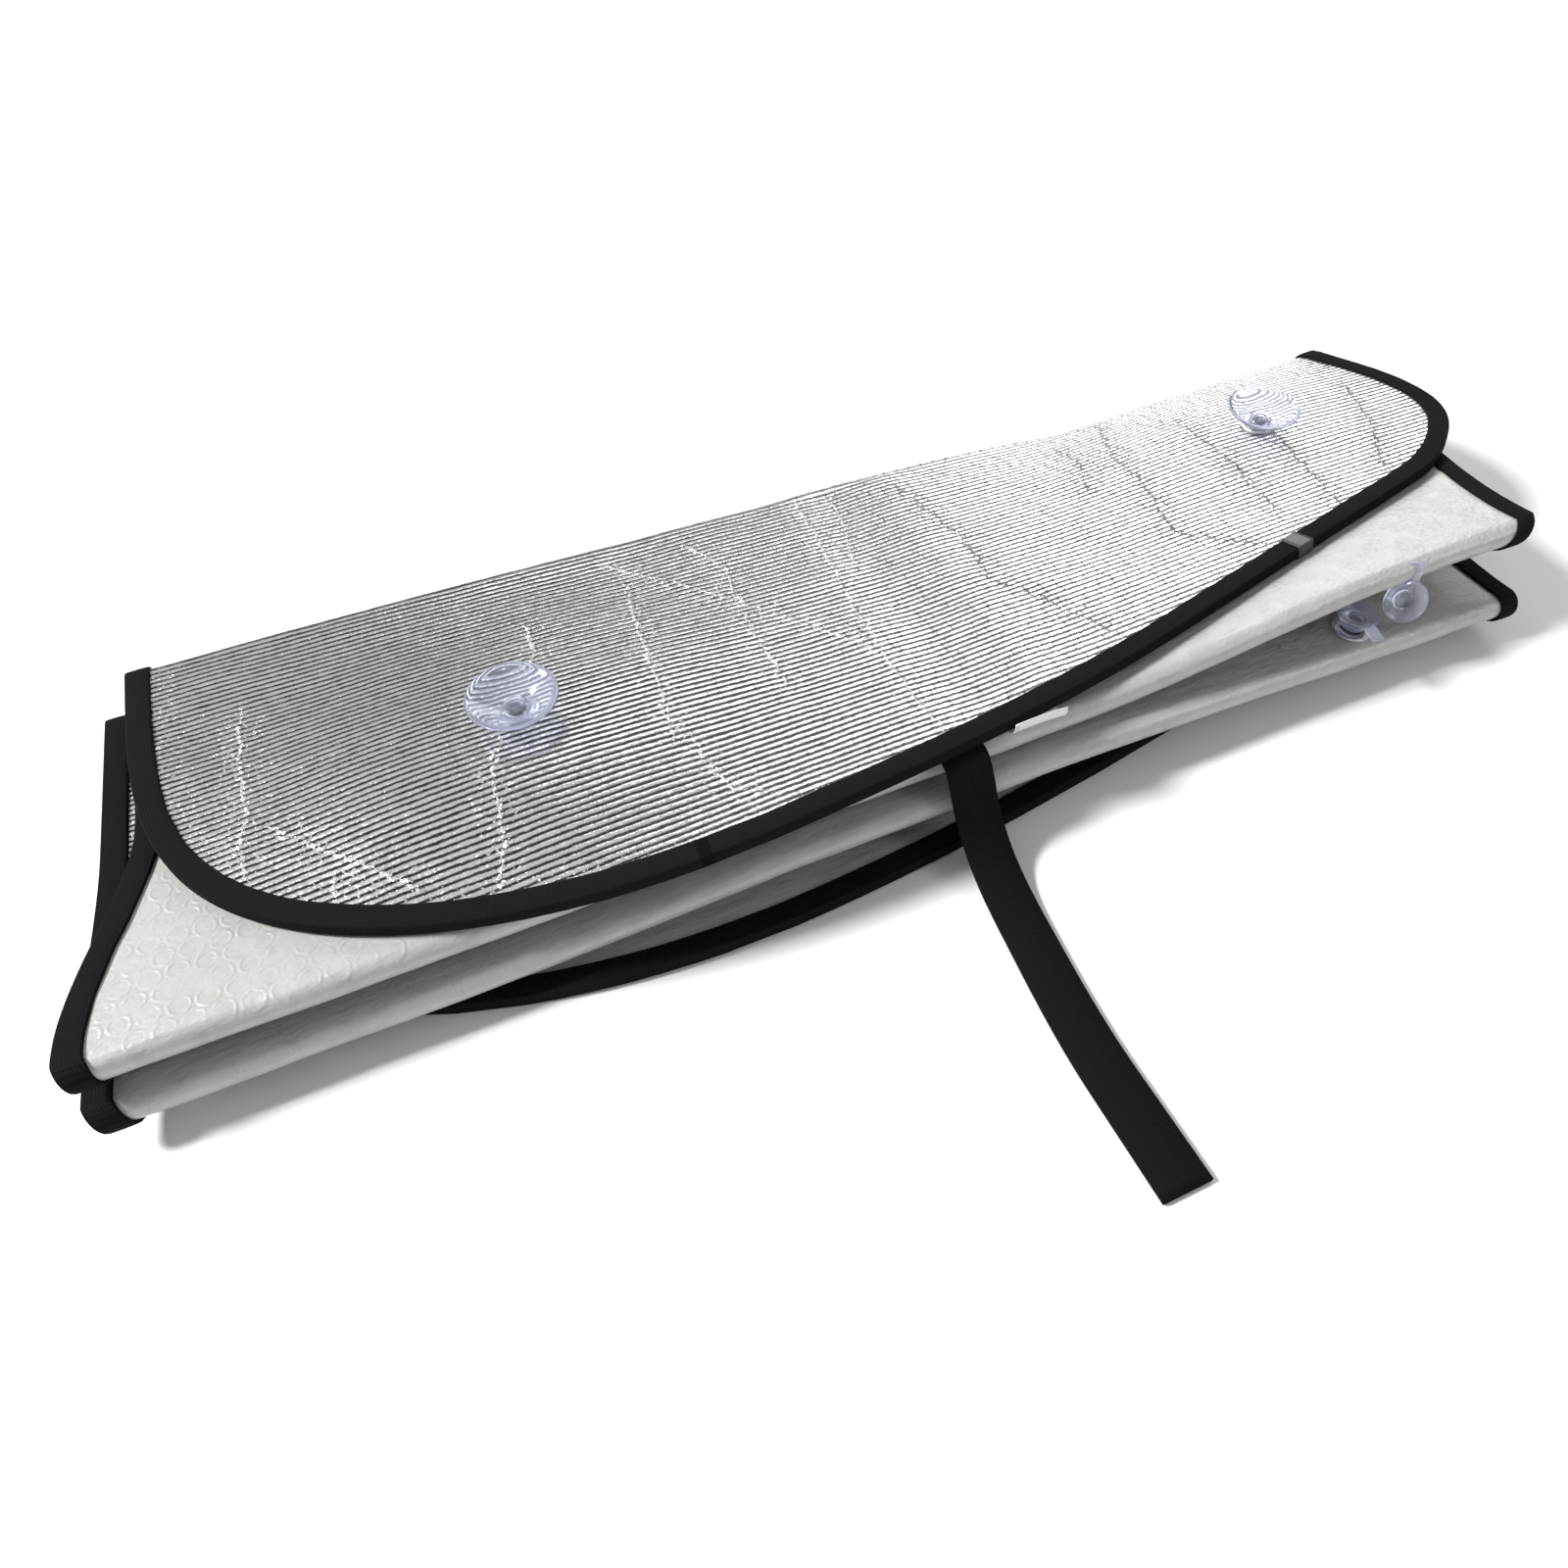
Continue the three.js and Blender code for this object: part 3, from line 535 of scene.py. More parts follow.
# where each cup and eyelet stands; heading is where the pull tab points
seats = {
    "top_left": {"panel": 0, "x": 197.0, "y": 101.0, "lean": 8.0, "heading": 200.0,
                 "body": "cup_top_left"},
    "top_right": {"panel": 0, "x": 648.0, "y": 152.0, "lean": 8.0, "heading": 40.0,
                  "body": "cup_top_right"},
    "inner_upper": {"panel": 2, "x": 632.0, "y": noseY(2, 632.0), "lean": 0.0, "heading": 0.0,
                    "body": "shade", "aim": (-0.45, -0.8, 0.3), "stretch": 6.0},
    "inner_lower": {"panel": 3, "x": 604.0, "y": noseY(3, 604.0), "lean": 0.0, "heading": 10.0,
                    "body": "shade"},
    "bottom_left": {"panel": 5, "x": 197.0, "y": 93.0, "lean": 0.0, "heading": 20.0,
                    "body": "cup_bottom_left"},
    "bottom_right": {"panel": 5, "x": 648.0, "y": 144.0, "lean": 0.0, "heading": 160.0,
                     "body": "cup_bottom_right"},
}
for seat in seats.values():
    point, normal = panelPoint(seat["panel"], seat["x"], seat["y"])
    normal = Vector(normal)
    toBack = Vector((0, 1, 0)) - normal * normal.y
    toBack.normalize()
    side = toBack.cross(normal)
    seat["point"] = Vector(point)
    seat["frame"] = Matrix((side, toBack, normal)).transposed().to_4x4()
    seat["turn"] = Matrix.Rotation(math.radians(seat["lean"]), 4, side) @ seat["frame"]


# lines where the foil is crushed, on the top panel, along and across
creases = (
    ((215, 169), (213, 143), (209, 135)),
    ((185, 85), (179, 71), (177, 53), (175, 35), (171, 20), (167, 13)),
    ((77, 165), (75, 131), (77, 98), (71, 82), (73, 65)),
    ((83, 88), (101, 67), (122, 43), (138, 25)),
    ((107, 49), (105, 34)),
    ((270, 184), (265, 149), (262, 101), (257, 58)),
    ((264, 65), (265, 46), (271, 19), (281, 11)),
    ((311, 203), (322, 176), (316, 122), (316, 72)),
    ((266, 207), (298, 170), (335, 121), (367, 72)),
    ((378, 235), (378, 189), (371, 130), (367, 72), (367, 28), (369, 5)),
    ((399, 224), (396, 190), (386, 152)),
    ((438, 202), (447, 139), (441, 100), (456, 76), (471, 35)),
    ((542, 195), (543, 181), (530, 149)),
    ((576, 211), (560, 171), (560, 144), (546, 86), (580, 49)),
    ((652, 149), (647, 117), (639, 82), (634, 60)),
    ((728, 171), (707, 121), (680, 82)),
    ((612, 182), (610, 113), (604, 79)),
)
creaseReach = {"side": 14, "full": 5, "none": 13}
waves = {
    "layers": ((0.021, 0.03, 3.1, 0.55), (0.06, 0.075, 7.7, 0.22)),   # along, across, seed, size
    "creaseSize": 0.22,
    "creaseWidth": 4.0,
    "creaseBeat": 0.11,
    "bendAt": (392, 100),   # a broad soft trough where the pack was bent, and a crest beside it
    "bendSlant": 0.03,
    "trough": (1.3, 16),
    "crest": (0.9, 14),
    "crestAway": 38,
}


def creaseFields(x, y):
    best = np.full(x.shape, 99.0)
    signed = np.full(x.shape, 99.0)
    for line in creases:
        for (ax, ay), (bx, by) in zip(line, line[1:]):
            ex, ey = bx - ax, by - ay
            t = np.clip(((x - ax) * ex + (y - ay) * ey) / (ex * ex + ey * ey), 0, 1)
            dx, dy = x - ax - t * ex, y - ay - t * ey
            d = np.hypot(dx, dy)
            sign = np.where(ex * dy - ey * dx > 0, 1.0, -1.0)
            nearer = d < best
            best = np.where(nearer, d, best)
            signed = np.where(nearer, d * sign, signed)
    side = creaseReach["side"]
    return np.clip(signed, -side, side), 1 - ease(best, creaseReach["full"], creaseReach["none"])


def relief(panel, x, y, v):   # slow waves of the laminate, in millimetres
    flat = np.stack([x, v], -1).reshape(-1, 2)
    wave = np.array([sum(noise.noise((a * fine, b * broad, seed)) * size
                         for fine, broad, seed, size in waves["layers"])
                     for a, b in flat]).reshape(x.shape)
    if panel == 0:
        signed, on = creaseFields(x, y)
        bulge = on * waves["creaseSize"] * np.exp(-(signed / waves["creaseWidth"])**2)
        wave = wave + bulge * np.sin(x * waves["creaseBeat"])
        bendX, bendY = waves["bendAt"]
        band = x - (bendX + (y - bendY) * waves["bendSlant"])
        (low, lowWidth), (high, highWidth) = waves["trough"], waves["crest"]
        wave = (wave - low * np.exp(-(band / lowWidth)**2)
                + high * np.exp(-((band - waves["crestAway"]) / highWidth)**2))
    return wave


flapTs = np.linspace(0.1, pack["flapReach"], 240)
flapOutline = np.concatenate([np.stack([flapLeft(flapTs), flapTs], -1),
                              np.stack([flapRight(flapTs), flapTs], -1)])


def edgeGap(x, t):   # distance from the curved edge of an end panel
    return np.hypot(x[:, None] - flapOutline[:, 0], t - flapOutline[:, 1]).min(1)


def buildSheet():
    rows = sheetRows()
    share = np.linspace(0, 1, grid["columns"])
    column = grid["measured"]
    points, normals, flatV, height, edgeDist = [], [], [], [], []
    v = 0.0
    for i, row in enumerate(rows):
        x = row.left + (row.right - row.left) * share
        p, n = row.at(x)
        if i:
            v += float(np.hypot(*(p[column] - points[-1][column])[1:]))
        points.append(p)
        normals.append(n)
        flatV.append(np.full(len(share), v))
        inside = np.minimum(x - row.left, row.right - x)
        if row.fromTip is not None:
            inside = np.minimum(inside * 0.8, edgeGap(x, row.fromTip))
        edgeDist.append(inside)
        height.append(relief(row.panel, p[:, 0], p[:, 1], flatV[-1]))
    points, normals, flatV, height = map(np.array, (points, normals, flatV, height))
    silver = points + normals * (half + height)[..., None]
    white = points - normals * (half - height)[..., None]
    count = len(share)
    keep = np.ones((len(rows) - 1, count - 1), bool)
    middle = (points[:-1, :-1] + points[1:, 1:]) / 2
    for seat in seats.values():
        keep &= np.linalg.norm(middle - np.array(seat["point"]), axis=-1) > grid["holeRadius"]
    total = points.shape[0] * count
    first = np.cross(silver[0, 1] - silver[0, 0], silver[1, 1] - silver[0, 0])
    forward = first @ normals[0, 0] > 0
    faces, slots = [], []
    rowCount = len(rows) - 1
    for i in range(rowCount):
        for j in range(count - 1):
            if not keep[i, j]:
                continue
            here, above = i * count + j, (i + 1) * count + j
            corners = [here, here + 1, above + 1, above]
            beside = [(i - 1, j), (i, j + 1), (i + 1, j), (i, j - 1)]
            if not forward:
                corners, beside = corners[::-1], [beside[2], beside[1], beside[0], beside[3]]
            faces.append(corners)
            slots.append(0)
            faces.append([c + total for c in reversed(corners)])
            slots.append(1)
            for k, (a, b) in enumerate(beside):
                if not (0 <= a < rowCount and 0 <= b < count - 1 and keep[a, b]):
                    p, q = corners[k], corners[(k + 1) % 4]
                    faces.append([q, p, p + total, q + total])
                    slots.append(1)
    signed, on = creaseFields(points[..., 0], points[..., 1])
    topRows = np.array([row.panel == 0 for row in rows])[:, None]
    on = np.where(topRows, on, 0.0)
    uv = np.stack([points[..., 0], flatV], -1).reshape(-1, 2)
    both = np.concatenate([silver.reshape(-1, 3), white.reshape(-1, 3)])
    piece = meshPiece("shadeSheet", both, faces, np.concatenate([uv, uv]), slots,
                      {"creaseSide": np.tile(signed.ravel(), 2), "creaseOn": np.tile(on.ravel(), 2),
                       "edgeDist": np.tile(np.array(edgeDist).ravel(), 2)})
    piece.data.materials.append(silverPaint())
    piece.data.materials.append(whitePaint())
    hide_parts("foil_sheet")
    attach(piece, "shade")
    return piece, rows


sheet, rows = buildSheet()
print("sheet:", len(sheet.data.polygons), "faces")


# the woven binding, swept round the edge
binding = {
    "width": 10.0,
    "slack": 0.4,
    "thickness": 1.0,
    "waviness": 0.45,
    "acrossTip": 5,   # stations along the straight tip of an end panel
    "colour": (0.0035, 0.0035, 0.0038),
    "weave": (0.95, 1.3, 0.22),   # rib, row and depth
}


def edgeStations(rows):   # places round the edge; d is inwards from it and h is off the sheet
    def station(row, x, dx, dy):
        def place(d, h):
            p, n = row.at(x + dx * d, dy * d)
            return p + n * h[:, None]
        return place

    def plain(row, x, inward):
        return station(row, x, inward, 0.0)

    def curved(row, edge, inward):
        ahead, behind = edge(row.fromTip + 0.25), edge(row.fromTip - 0.25)
        nx, ny = 0.5 * inward, -(ahead - behind) * inward
        size = math.hypot(nx, ny)
        return station(row, edge(row.fromTip), nx / size, ny / size)

    def tip(row, f):
        return station(row, row.left + (row.right - row.left) * f, 0.0, 1.0)

    def side(sign):
        edge = flapLeft if sign < 0 else flapRight
        return [curved(row, edge, -sign) if row.fromTip is not None
                else plain(row, row.left if sign < 0 else row.right, -sign) for row in rows]
    across = np.linspace(0, 1, binding["acrossTip"] + 2)[1:-1]
    return (side(-1) + [tip(rows[-1], f) for f in across]
            + side(1)[::-1] + [tip(rows[0], f) for f in across[::-1]])


def sweep(name, stations, section, closed, waviness=0.0):
    section = np.array(section, float)
    rings, u = [], [0.0]
    for i, place in enumerate(stations):
        d, h = section[:, 0].copy(), section[:, 1].copy()
        if waviness:
            shift = noise.noise((i * 0.31, 1.7, 0.0)) * waviness
            d = np.where(d > 5, d + shift, d)
            h = h + np.sign(h) * abs(noise.noise((i * 0.45, 9.1, 0.0))) * waviness * 0.5
        rings.append(place(d, h))
        if i:
            u.append(u[-1] + float(np.linalg.norm(rings[-1][0] - rings[-2][0])))
    count = len(section)
    around = np.concatenate([[0], np.cumsum(np.linalg.norm(np.diff(section, axis=0), axis=1))])
    uv = [(a, b) for a in u for b in around]
    faces = []
    for i in range(len(rings) if closed else len(rings) - 1):
        k = (i + 1) % len(rings)
        for j in range(count):
            m = (j + 1) % count
            faces.append([i * count + j, i * count + m, k * count + m, k * count + j])
    if not closed:
        faces.append(list(range(count))[::-1])
        faces.append([(len(rings) - 1) * count + j for j in range(count)])
    return meshPiece(name, np.concatenate(rings), faces, uv)


def pointOut(piece):   # turns all faces outwards
    bpy.ops.object.select_all(action="DESELECT")
    bpy.context.view_layer.objects.active = piece
    piece.select_set(True)
    bpy.ops.object.mode_set(mode="EDIT")
    bpy.ops.mesh.select_all(action="SELECT")
    bpy.ops.mesh.normals_make_consistent(inside=False)
    bpy.ops.object.mode_set(mode="OBJECT")


def wrapSection(width, inner, outer, tip, rounding=0.9, steps=4):   # a band folded over the edge
    line = [(width, inner), (width - 0.3, outer - 0.15), (width - 0.8, outer),
            (width * 0.5, outer + 0.12)]
    for k in range(steps + 1):
        a = math.pi / 2 * k / steps
        line.append((-tip + rounding - rounding * math.sin(a),
                     outer - rounding + rounding * math.cos(a)))
    other = [(d, -h) for d, h in reversed(line)]
    return line + other + [(-tip + 0.7, -inner), (-tip + 0.7, inner)]


def buildBinding():
    inner = half + binding["slack"]
    section = wrapSection(binding["width"], inner, inner + binding["thickness"],
                          binding["slack"] + binding["thickness"])
    piece = sweep("edgeTape", edgeStations(rows), section, True, binding["waviness"])
    pointOut(piece)
    piece.data.materials.append(wovenPaint("wovenTape", binding["colour"], *binding["weave"]))
    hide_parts("edge_binding")
    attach(piece, "shade")
    return piece


bindingPiece = buildBinding()
print("binding:", len(bindingPiece.data.polygons), "faces")


# the grey tape round the binding, between two places from the tip
tape = {
    "start": 51.6,
    "end": 54.4,
    "rows": 6,
    "thickness": 0.25,
    "overWidth": 0.2,   # how much it is wider than the binding
    "under": (0.55, 0.9, 0.25),   # from the sheet: slack, binding and gap
    "pastTip": (1.45, 0.3),
    "colour": (0.075, 0.075, 0.08),
}


def buildTape():
    slack, cloth, gap = tape["under"]
    reach, spare = tape["pastTip"]
    inner = half + slack + cloth + gap
    tapeRows = [flapRow(0, t) for t in np.linspace(tape["start"], tape["end"], tape["rows"])]
    first = tape["rows"] + binding["acrossTip"]   # the stations of the right side begin there
    stations = edgeStations(tapeRows)[first:first + tape["rows"]]
    section = wrapSection(binding["width"] + tape["overWidth"], inner, inner + tape["thickness"],
                          reach + spare + tape["thickness"])
    piece = sweep("binderTape", stations, section, False)
    pointOut(piece)
    piece.data.materials.append(clearPaint("greyTape", tape["colour"], 0.5, 0.3))
    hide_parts("binding_tape")
    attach(piece, "shade")
    return piece


tapePiece = buildTape()
print("tape:", len(tapePiece.data.polygons), "faces")


def smoothPath(points, count):   # an even curve through the points
    p = np.array(points, float)
    p = np.vstack([2 * p[0] - p[1], p, 2 * p[-1] - p[-2]])
    out = []
    for t in np.linspace(0, len(p) - 3, count, endpoint=True):
        i = min(int(t), len(p) - 4)
        f = t - i
        a, b, c, d = p[i:i + 4]
        knots = [0.0]
        for s, e in ((a, b), (b, c), (c, d)):
            knots.append(knots[-1] + max(np.linalg.norm(e - s), 1e-6)**0.5)
        t0, t1, t2, t3 = knots
        q = t1 + (t2 - t1) * f
        ab = (a * (t1 - q) + b * (q - t0)) / (t1 - t0)
        bc = (b * (t2 - q) + c * (q - t1)) / (t2 - t1)
        cd = (c * (t3 - q) + d * (q - t2)) / (t3 - t2)
        abc = (ab * (t2 - q) + bc * (q - t0)) / (t2 - t0)
        bcd = (bc * (t3 - q) + cd * (q - t1)) / (t3 - t1)
        out.append((abc * (t2 - q) + bcd * (q - t1)) / (t2 - t1))
    return np.array(out)


def bandStations(path, count, middle, curl=0.0):   # a flat band along a path of y and z
    line = smoothPath(path, count)
    step = np.gradient(line, axis=0)
    step /= np.linalg.norm(step, axis=1, keepdims=True)
    stations = []
    for i, ((y, z), (ty, tz)) in enumerate(zip(line, step)):
        up = np.array([0, -tz, ty])
        share = i / (count - 1)
        def place(d, h, y=y, z=z, up=up, share=share):
            lift = curl * share * (d / 14.0)**2   # the sides rise towards the free end
            return np.stack([middle(y) + d, 0 * d + y, 0 * d + z], -1) + up * (h + lift)[:, None]
        stations.append(place)
    return stations


pastEdge = 1.45   # how far the binding stands out beyond the sheet
underBinding = 3.2   # from the middle of the sheet to the lower face of the binding


def sewnIn(x):   # the free edge at x, the level of the sheet there and the binding's lip
    edgeY = flapEdge(x)
    level = float(panelHeight(0, np.array(x), np.array(edgeY)))
    return edgeY, level, edgeY - pastEdge


strap = {
    "x": 372.0,
    "width": 22.0,
    "thickness": 2.2,
    "gap": 0.9,
    "slide": 9.0,   # how far the part on the floor lies to the left
    "slideRun": (-150, -15),
    "reach": 201.0,
    "stations": 150,
    "drop": ((-8, 0.78), (-12, 0.57), (-18, 0.38), (-27, 0.21), (-40, 0.09)),   # y, share of height
    "colour": (0.0036, 0.0036, 0.0034),
    "weave": (0.75, 1.5, 0.35),
}


def buildStrap():
    edgeY, level, lip = sewnIn(strap["x"])
    top = level - underBinding - strap["gap"] - strap["thickness"] / 2
    low = strap["thickness"] / 2 + 0.3
    path = [(edgeY + 14, top), (lip, top), (lip - 4, top - 3)]
    path += [(lip + away, top * share) for away, share in strap["drop"]]
    path += [(lip - 55, low + 0.6), (lip - 72, low), (-strap["reach"] * 0.7, low),
             (-strap["reach"], low)]
    w, t = strap["width"] / 2, strap["thickness"] / 2
    # two plies pressed flat, with a notch between them at each side
    plies = [(-w, 0.1), (-w + 0.05, t - 0.35), (-w + 0.5, t), (-w * 0.5, t + 0.05), (0, t - 0.05),
             (w * 0.5, t + 0.05), (w - 0.5, t), (w - 0.05, t - 0.35), (w, 0.1), (w - 0.7, 0.0),
             (w, -0.1), (w - 0.05, -t + 0.35), (w - 0.5, -t), (0, -t), (-w + 0.5, -t),
             (-w + 0.05, -t + 0.35), (-w, -0.1), (-w + 0.7, 0.0)]

    def middle(y):
        return strap["x"] - strap["slide"] * (1 - float(ease(y, *strap["slideRun"])))
    stations = bandStations(path, strap["stations"], middle)
    piece = sweep("closingStrap", stations, plies, False)
    pointOut(piece)
    piece.data.materials.append(wovenPaint("elasticKnit", strap["colour"], *strap["weave"]))
    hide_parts("elastic_strap")
    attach(piece, "shade")
    return piece


strapPiece = buildStrap()
print("strap:", len(strapPiece.data.polygons), "faces")

label = {
    "x": 411.0,
    "width": 27.0,
    "thickness": 0.35,
    "under": (0.3, 0.5),
    "curl": 0.6,
    "stations": 20,
    "columns": 9,
    "free": ((-1.6, -0.1), (-4.0, 1.4), (-5.8, 4.4), (-6.0, 8.0)),   # from the lip and the top
    "colours": ((0.66, 0.66, 0.65), (0.74, 0.74, 0.73)),
}


def buildLabel():
    edgeY, level, lip = sewnIn(label["x"])
    gap, cloth = label["under"]
    top = level - underBinding - gap - cloth
    path = [(edgeY + 7, top), (edgeY, top - 0.2)]
    path += [(lip + away, top + rise) for away, rise in label["free"]]
    w, t = label["width"] / 2, label["thickness"] / 2
    ribbon = ([(d, t) for d in np.linspace(-w, w, label["columns"])]
              + [(d, -t) for d in np.linspace(w, -w, label["columns"])])
    stations = bandStations(path, label["stations"], lambda y: label["x"], label["curl"])
    piece = sweep("blankLabel", stations, ribbon, False)
    pointOut(piece)
    piece.data.materials.append(plainPaint("labelRibbon", *label["colours"], 0.5, 900.0))
    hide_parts("care_label")
    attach(piece, "shade")
    return piece


labelPiece = buildLabel()
print("label:", len(labelPiece.data.polygons), "faces")


smoothBelow = math.radians(40)
weld = 0.00002


# a ring is added and drawn out, ring by ring, as on a lathe
def spun(name, rings, segments, closed):
    bpy.ops.object.select_all(action="DESELECT")
    bpy.ops.mesh.primitive_circle_add(vertices=segments, radius=rings[0][0] * mm,
                                      fill_type="NOTHING", location=(0, 0, 0))
    piece = bpy.context.object
    piece.name = name
    bpy.ops.object.mode_set(mode="EDIT")
    bpy.ops.mesh.select_all(action="SELECT")
    bpy.ops.transform.translate(value=(0, 0, rings[0][1] * mm))
    for (r0, z0), (r1, z1) in zip(rings, rings[1:]):
        bpy.ops.mesh.extrude_region_move(
            TRANSFORM_OT_translate={"value": (0, 0, (z1 - z0) * mm)})
        bpy.ops.transform.resize(value=(r1 / r0, r1 / r0, 1), center_override=(0, 0, 0))
    bpy.ops.mesh.select_all(action="SELECT")
    bpy.ops.mesh.remove_doubles(threshold=weld)
    bpy.ops.mesh.select_non_manifold()
    if not closed:
        bpy.ops.mesh.edge_face_add()
    bpy.ops.mesh.select_all(action="SELECT")
    bpy.ops.mesh.normals_make_consistent(inside=False)
    bpy.ops.object.mode_set(mode="OBJECT")
    bpy.ops.object.shade_smooth_by_angle(angle=smoothBelow)
    return piece


def settle(piece, matrix):   # the place goes into the mesh, the object stays at the origin
    piece.data.transform(matrix)
    piece.matrix_world = Matrix.Identity(4)
    return piece


def copyOf(piece, name):
    twin = piece.copy()
    twin.data = piece.data.copy()
    twin.name = name
    scene.collection.objects.link(twin)
    return twin


# radius and height of each ring; heights count from the seat
cup = {
    "reach": 17.64,
    "seatFlat": 4.05,
    "seatLeaning": 5.24,
    "segments": 56,
    "bell": ((0.3, 2.0), (2.3, 2.0), (2.9, 2.3), (3.1, 3.1), (3.6, 3.5), (4.9, 3.4), (5.6, 2.7),
             (6.5, 1.7), (8.6, 2.2), (11.2, 3.7), (14.0, 5.7), (16.6, 7.7), (18.6, 9.2),
             (20.0, 9.95), (20.7, 10.0), (21.0, 9.7), (20.9, 9.2), (19.3, 7.5), (17.4, 5.6),
             (14.8, 3.6), (12.0, 2.0), (9.6, 0.7), (8.2, 0.1), (7.8, 0.0), (4.2, 0.0)),
    "body": ((3.6, -0.4), (3.6, -9.3), (3.9, -9.64), (6.9, -9.64), (7.2, -9.9), (7.2, -10.5),
             (6.8, -10.9), (5.0, -11.7), (4.4, -12.1), (4.6, -13.1), (5.8, -14.4), (8.8, -15.9),
             (10.9, -16.6), (11.3, -17.1), (11.1, -17.64), (10.4, -17.64), (10.0, -17.2),
             (8.2, -16.5), (5.2, -15.6), (3.0, -15.1), (0.3, -15.0)),
    "head": 11.3,
    "tab": (7.0, 10.0, 1.0),   # wide, long and thick
    "tabBevel": 0.4,
    "pinch": (0.8, 0.4, 0.5, 0.3),   # across, to the front, to the back and in height
    "stem": (10.9, 13.5),   # the part of the stem that bends, below the seat
    "pivot": 11.2,
    "colour": (0.82, 0.85, 0.99),
}
eyelet = {
    "segments": 48,
    "rings": ((6.0, -2.8), (6.3, -3.02), (10.1, -3.05), (10.42, -2.9), (10.5, -2.6), (10.4, -2.1),
              (6.7, -2.05), (6.6, -1.8), (6.6, 2.9), (7.0, 3.15), (8.0, 3.15), (8.2, 3.3),
              (8.05, 3.6), (7.4, 3.75), (6.6, 3.7), (6.1, 3.4), (6.0, 3.0), (6.0, -2.8)),
}
washer = {
    "segments": 48,
    "rings": ((7.0, 2.1), (10.2, 2.05), (10.5, 2.25), (10.45, 2.6), (10.1, 2.85), (7.1, 2.85),
              (6.95, 2.6), (7.0, 2.1)),
}


def pullTab(heading):
    wide, long, thick = cup["tab"]
    bpy.ops.object.select_all(action="DESELECT")
    bpy.ops.mesh.primitive_cube_add(size=mm, location=(0, 0, 0))   # 1 mm, so it scales by the sizes
    piece = bpy.context.object
    piece.data.transform(Matrix.Diagonal((wide, long + 1.0, thick, 1)))
    out = cup["head"] + long / 2 - 0.5   # it runs a little into the head
    piece.data.transform(Matrix.Translation((0, -out * mm, (-cup["reach"] + thick / 2) * mm)))
    bpy.ops.object.mode_set(mode="EDIT")
    bpy.ops.mesh.select_all(action="SELECT")
    bpy.ops.mesh.bevel(offset=cup["tabBevel"] * mm, segments=2, affect="EDGES")
    bpy.ops.object.mode_set(mode="OBJECT")
    bpy.ops.object.shade_smooth_by_angle(angle=smoothBelow)
    piece.data.transform(Matrix.Rotation(math.radians(heading), 4, "Z"))
    return piece


def joined(first, second):
    bpy.ops.object.select_all(action="DESELECT")
    second.select_set(True)
    first.select_set(True)
    bpy.context.view_layer.objects.active = first
    bpy.ops.object.join()
    return first


def lookOut(piece, seat):   # the soft stem bends, so the head looks out of the fold
    target = seat["frame"].to_3x3().inverted() @ Vector(seat["aim"]).normalized()
    swing = Vector((0, 0, -1)).rotation_difference(target)
    pivot = Vector((0, 0, -cup["pivot"] * mm))
    for vertex in piece.data.vertices:
        share = float(ease(-vertex.co.z / mm, *cup["stem"]))
        if share > 0:
            turn = Quaternion().slerp(swing, share)
            vertex.co = pivot + turn @ (vertex.co - pivot) + target * seat["stretch"] * share * mm


def pinched(piece):   # the bell lies flat between the layers
    across, front, back, tall = cup["pinch"]
    for vertex in piece.data.vertices:
        if vertex.co.z > -0.1 * mm:
            vertex.co.x *= across
            vertex.co.y *= front if vertex.co.y < 0 else back
            vertex.co.z *= tall


def buildFittings():
    cupMaster = spun("cupMaster", cup["bell"] + cup["body"], cup["segments"], False)
    eyeletMaster = spun("eyeletMaster", eyelet["rings"], eyelet["segments"], True)
    washerMaster = spun("washerMaster", washer["rings"], washer["segments"], True)
    clear = clearPaint("clearVinyl", cup["colour"], 0.88, 0.05)
    nickel = metalPaint()
    for name, seat in seats.items():
        place = Matrix.Translation(toFrame(seat["point"]).tolist())
        for master, node in ((eyeletMaster, "eyelet_"), (washerMaster, "washer_")):
            ring = copyOf(master, node.replace("_", "Ring_") + name)
            settle(ring, place @ seat["frame"])
            ring.data.materials.append(nickel)
            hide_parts(node + name)
            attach(ring, "shade")
        piece = copyOf(cupMaster, "cup_" + name)
        if seat["body"] == "shade":
            pinched(piece)
        piece = joined(piece, pullTab(seat["heading"]))
        if "aim" in seat:
            lookOut(piece, seat)
        rise = cup["seatLeaning"] if seat["lean"] else cup["seatFlat"]
        axis = seat["turn"].to_3x3() @ Vector((0, 0, 1))
        settle(piece, Matrix.Translation((axis * rise * mm)) @ place @ seat["turn"])
        piece.data.materials.clear()
        piece.data.materials.append(clear)
        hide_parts("suction_cup_" + name)
        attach(piece, seat["body"])
    for master in (cupMaster, eyeletMaster, washerMaster):
        bpy.data.objects.remove(master)


buildFittings()
print("cups and eyelets:", len(seats), "of each")


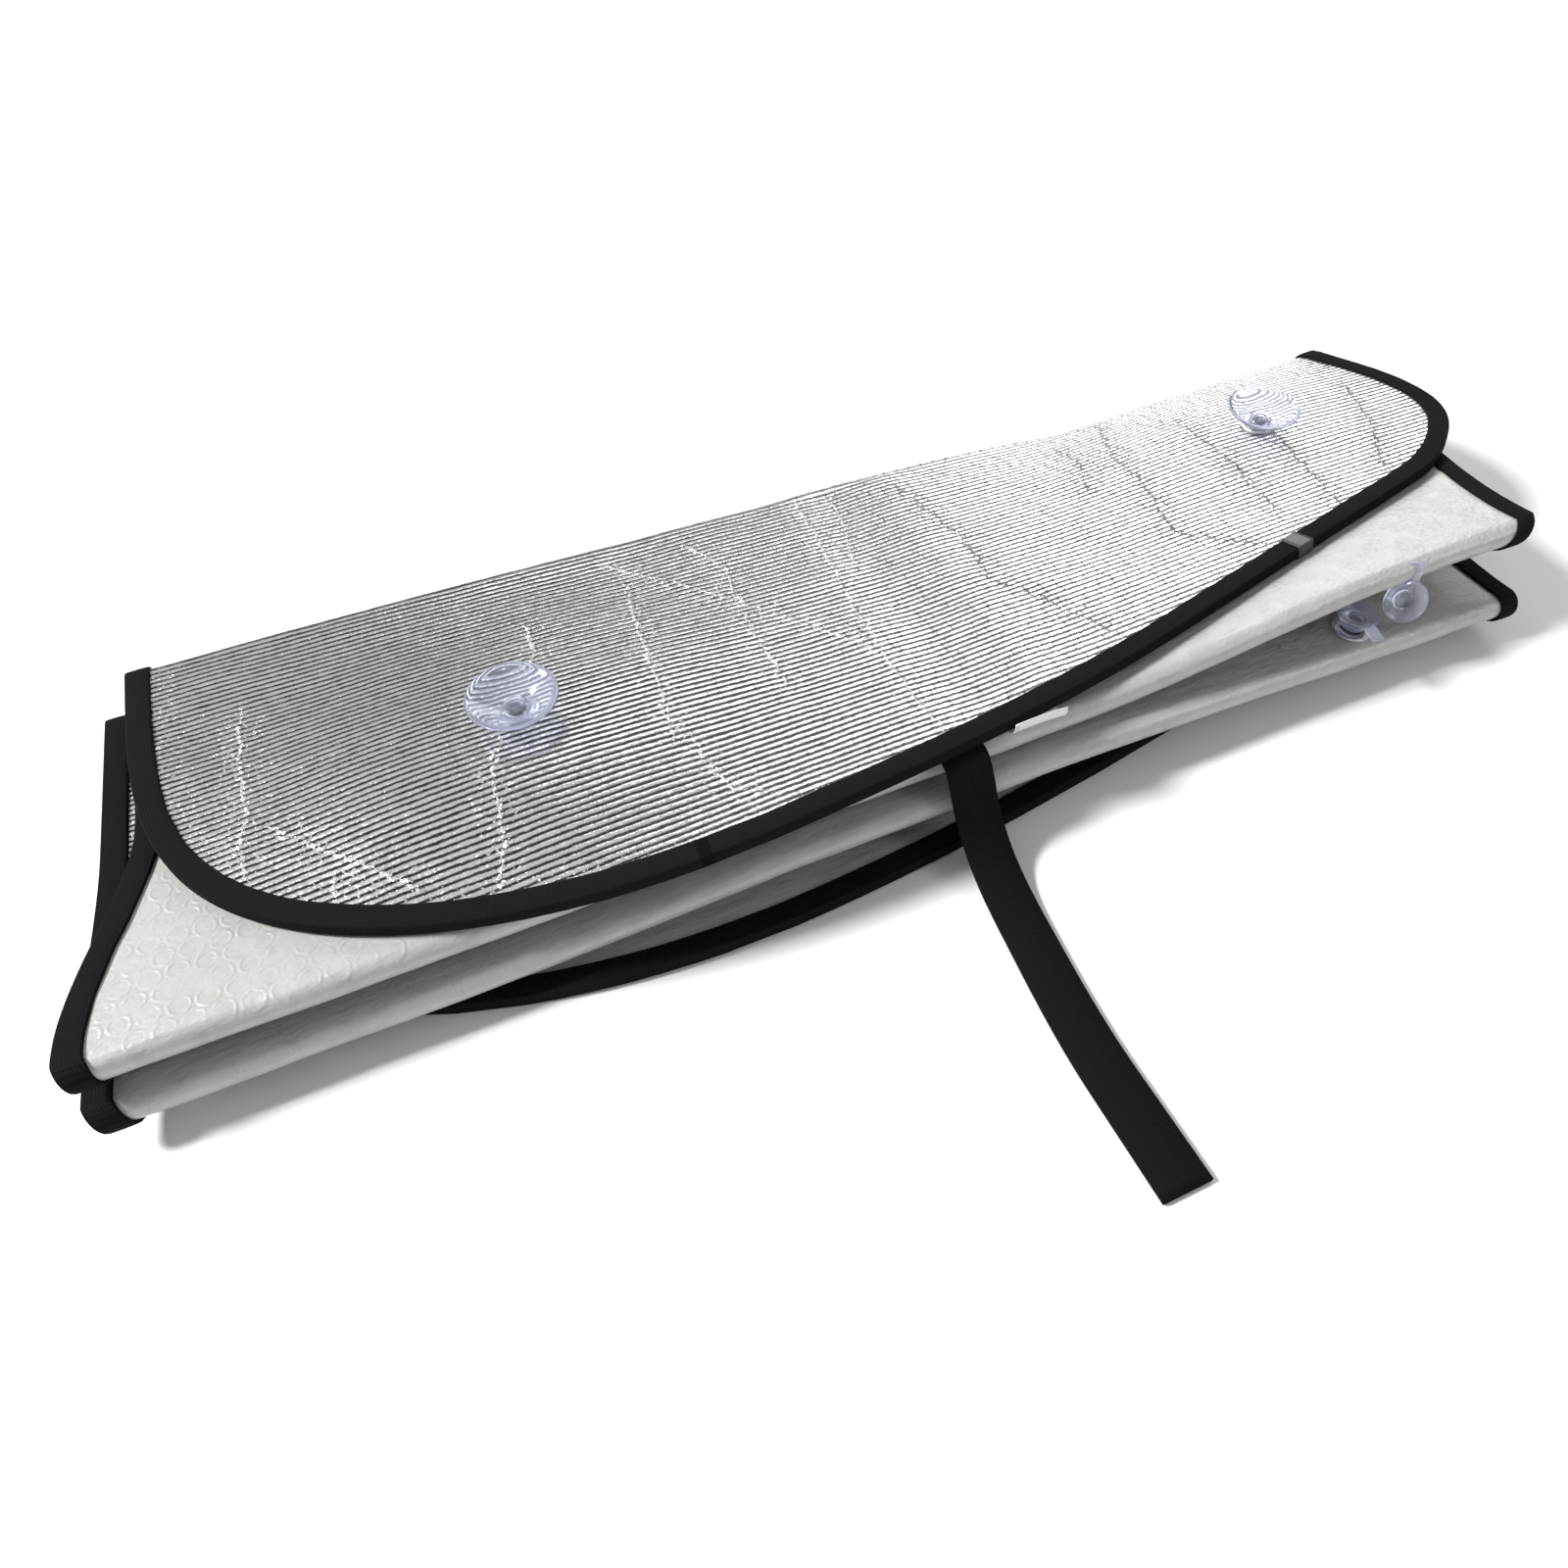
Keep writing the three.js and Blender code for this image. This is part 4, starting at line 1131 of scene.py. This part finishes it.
stage = {
    "floorSize": 14,
    "floorLevel": -0.0004,
    "floorColours": ((0.79, 0.79, 0.79), (0.82, 0.82, 0.82)),
    "skyLight": 0.34,
}
lights = {
    "key": {"at": (-2.8, 0.95, 2.7), "size": 0.8, "long": 0.8, "power": 280.0},
    "window": {"at": (1.75, 1.9, 1.5), "size": 1.6, "long": 1.6, "power": 25.0},
    "strip": {"at": (0.7, 1.9, 2.2), "size": 1.9, "long": 0.3, "power": 9.0},
    "front": {"at": (1.7, -1.6, 1.3), "size": 1.0, "long": 1.0, "power": 15.0},
}
view = {
    "at": (200.818, -335.558, 411.864),
    "yaw": 0.391,
    "pitch": 0.793,
    "roll": -0.06,
    "focal": 1180.0,   # in pixels of the photograph
    "pixels": 1600,
    "sensor": 36,
    "shift": -0.07,
    "nearest": 0.01,
}


def buildStage():
    bpy.ops.object.select_all(action="DESELECT")
    bpy.ops.mesh.primitive_plane_add(size=stage["floorSize"],
                                     location=(0, 0, stage["floorLevel"]))
    floor = bpy.context.object
    floor.name = "studioFloor"
    p = Paint("paleFloor", Roughness=0.9)
    p.feed(Base_Color=p.mix(p.objectNoise(3.0), *stage["floorColours"]))
    floor.data.materials.append(p.material)
    world = bpy.data.worlds.new("studio")
    scene.world = world
    world.use_nodes = True
    background = world.node_tree.nodes["Background"]
    background.inputs[0].default_value = (1.0, 1.0, 1.0, 1)
    background.inputs[1].default_value = stage["skyLight"]
    for name, spec in lights.items():
        bpy.ops.object.light_add(type="AREA", location=spec["at"])
        lamp = bpy.context.object
        lamp.name = name
        lamp.data.shape = "RECTANGLE"
        lamp.data.size, lamp.data.size_y = spec["size"], spec["long"]
        lamp.data.energy = spec["power"]
        lamp.rotation_euler = (-Vector(spec["at"])).to_track_quat("-Z", "Y").to_euler()


def buildCamera():
    cy, sy = math.cos(view["yaw"]), math.sin(view["yaw"])
    cp, sp = math.cos(view["pitch"]), math.sin(view["pitch"])
    ahead = Vector((sy * cp, cy * cp, -sp))
    right = Vector((cy, -sy, 0))
    up = right.cross(ahead)
    c, s = math.cos(view["roll"]), math.sin(view["roll"])
    right, up = right * c + up * s, up * c - right * s
    place = toFrame(view["at"]).tolist()
    turn = Matrix((right, up, -ahead)).transposed().to_4x4()
    bpy.ops.object.camera_add(location=place)
    camera = bpy.context.object
    camera.matrix_world = Matrix.Translation(place) @ turn
    camera.data.sensor_width = view["sensor"]
    camera.data.lens = view["focal"] / view["pixels"] * view["sensor"]
    camera.data.shift_x = view["shift"]
    camera.data.clip_start = view["nearest"]
    scene.camera = camera


buildStage()
print("stage:", len(lights), "lights")
buildCamera()
print("camera placed")
scene.view_settings.view_transform = "Standard"
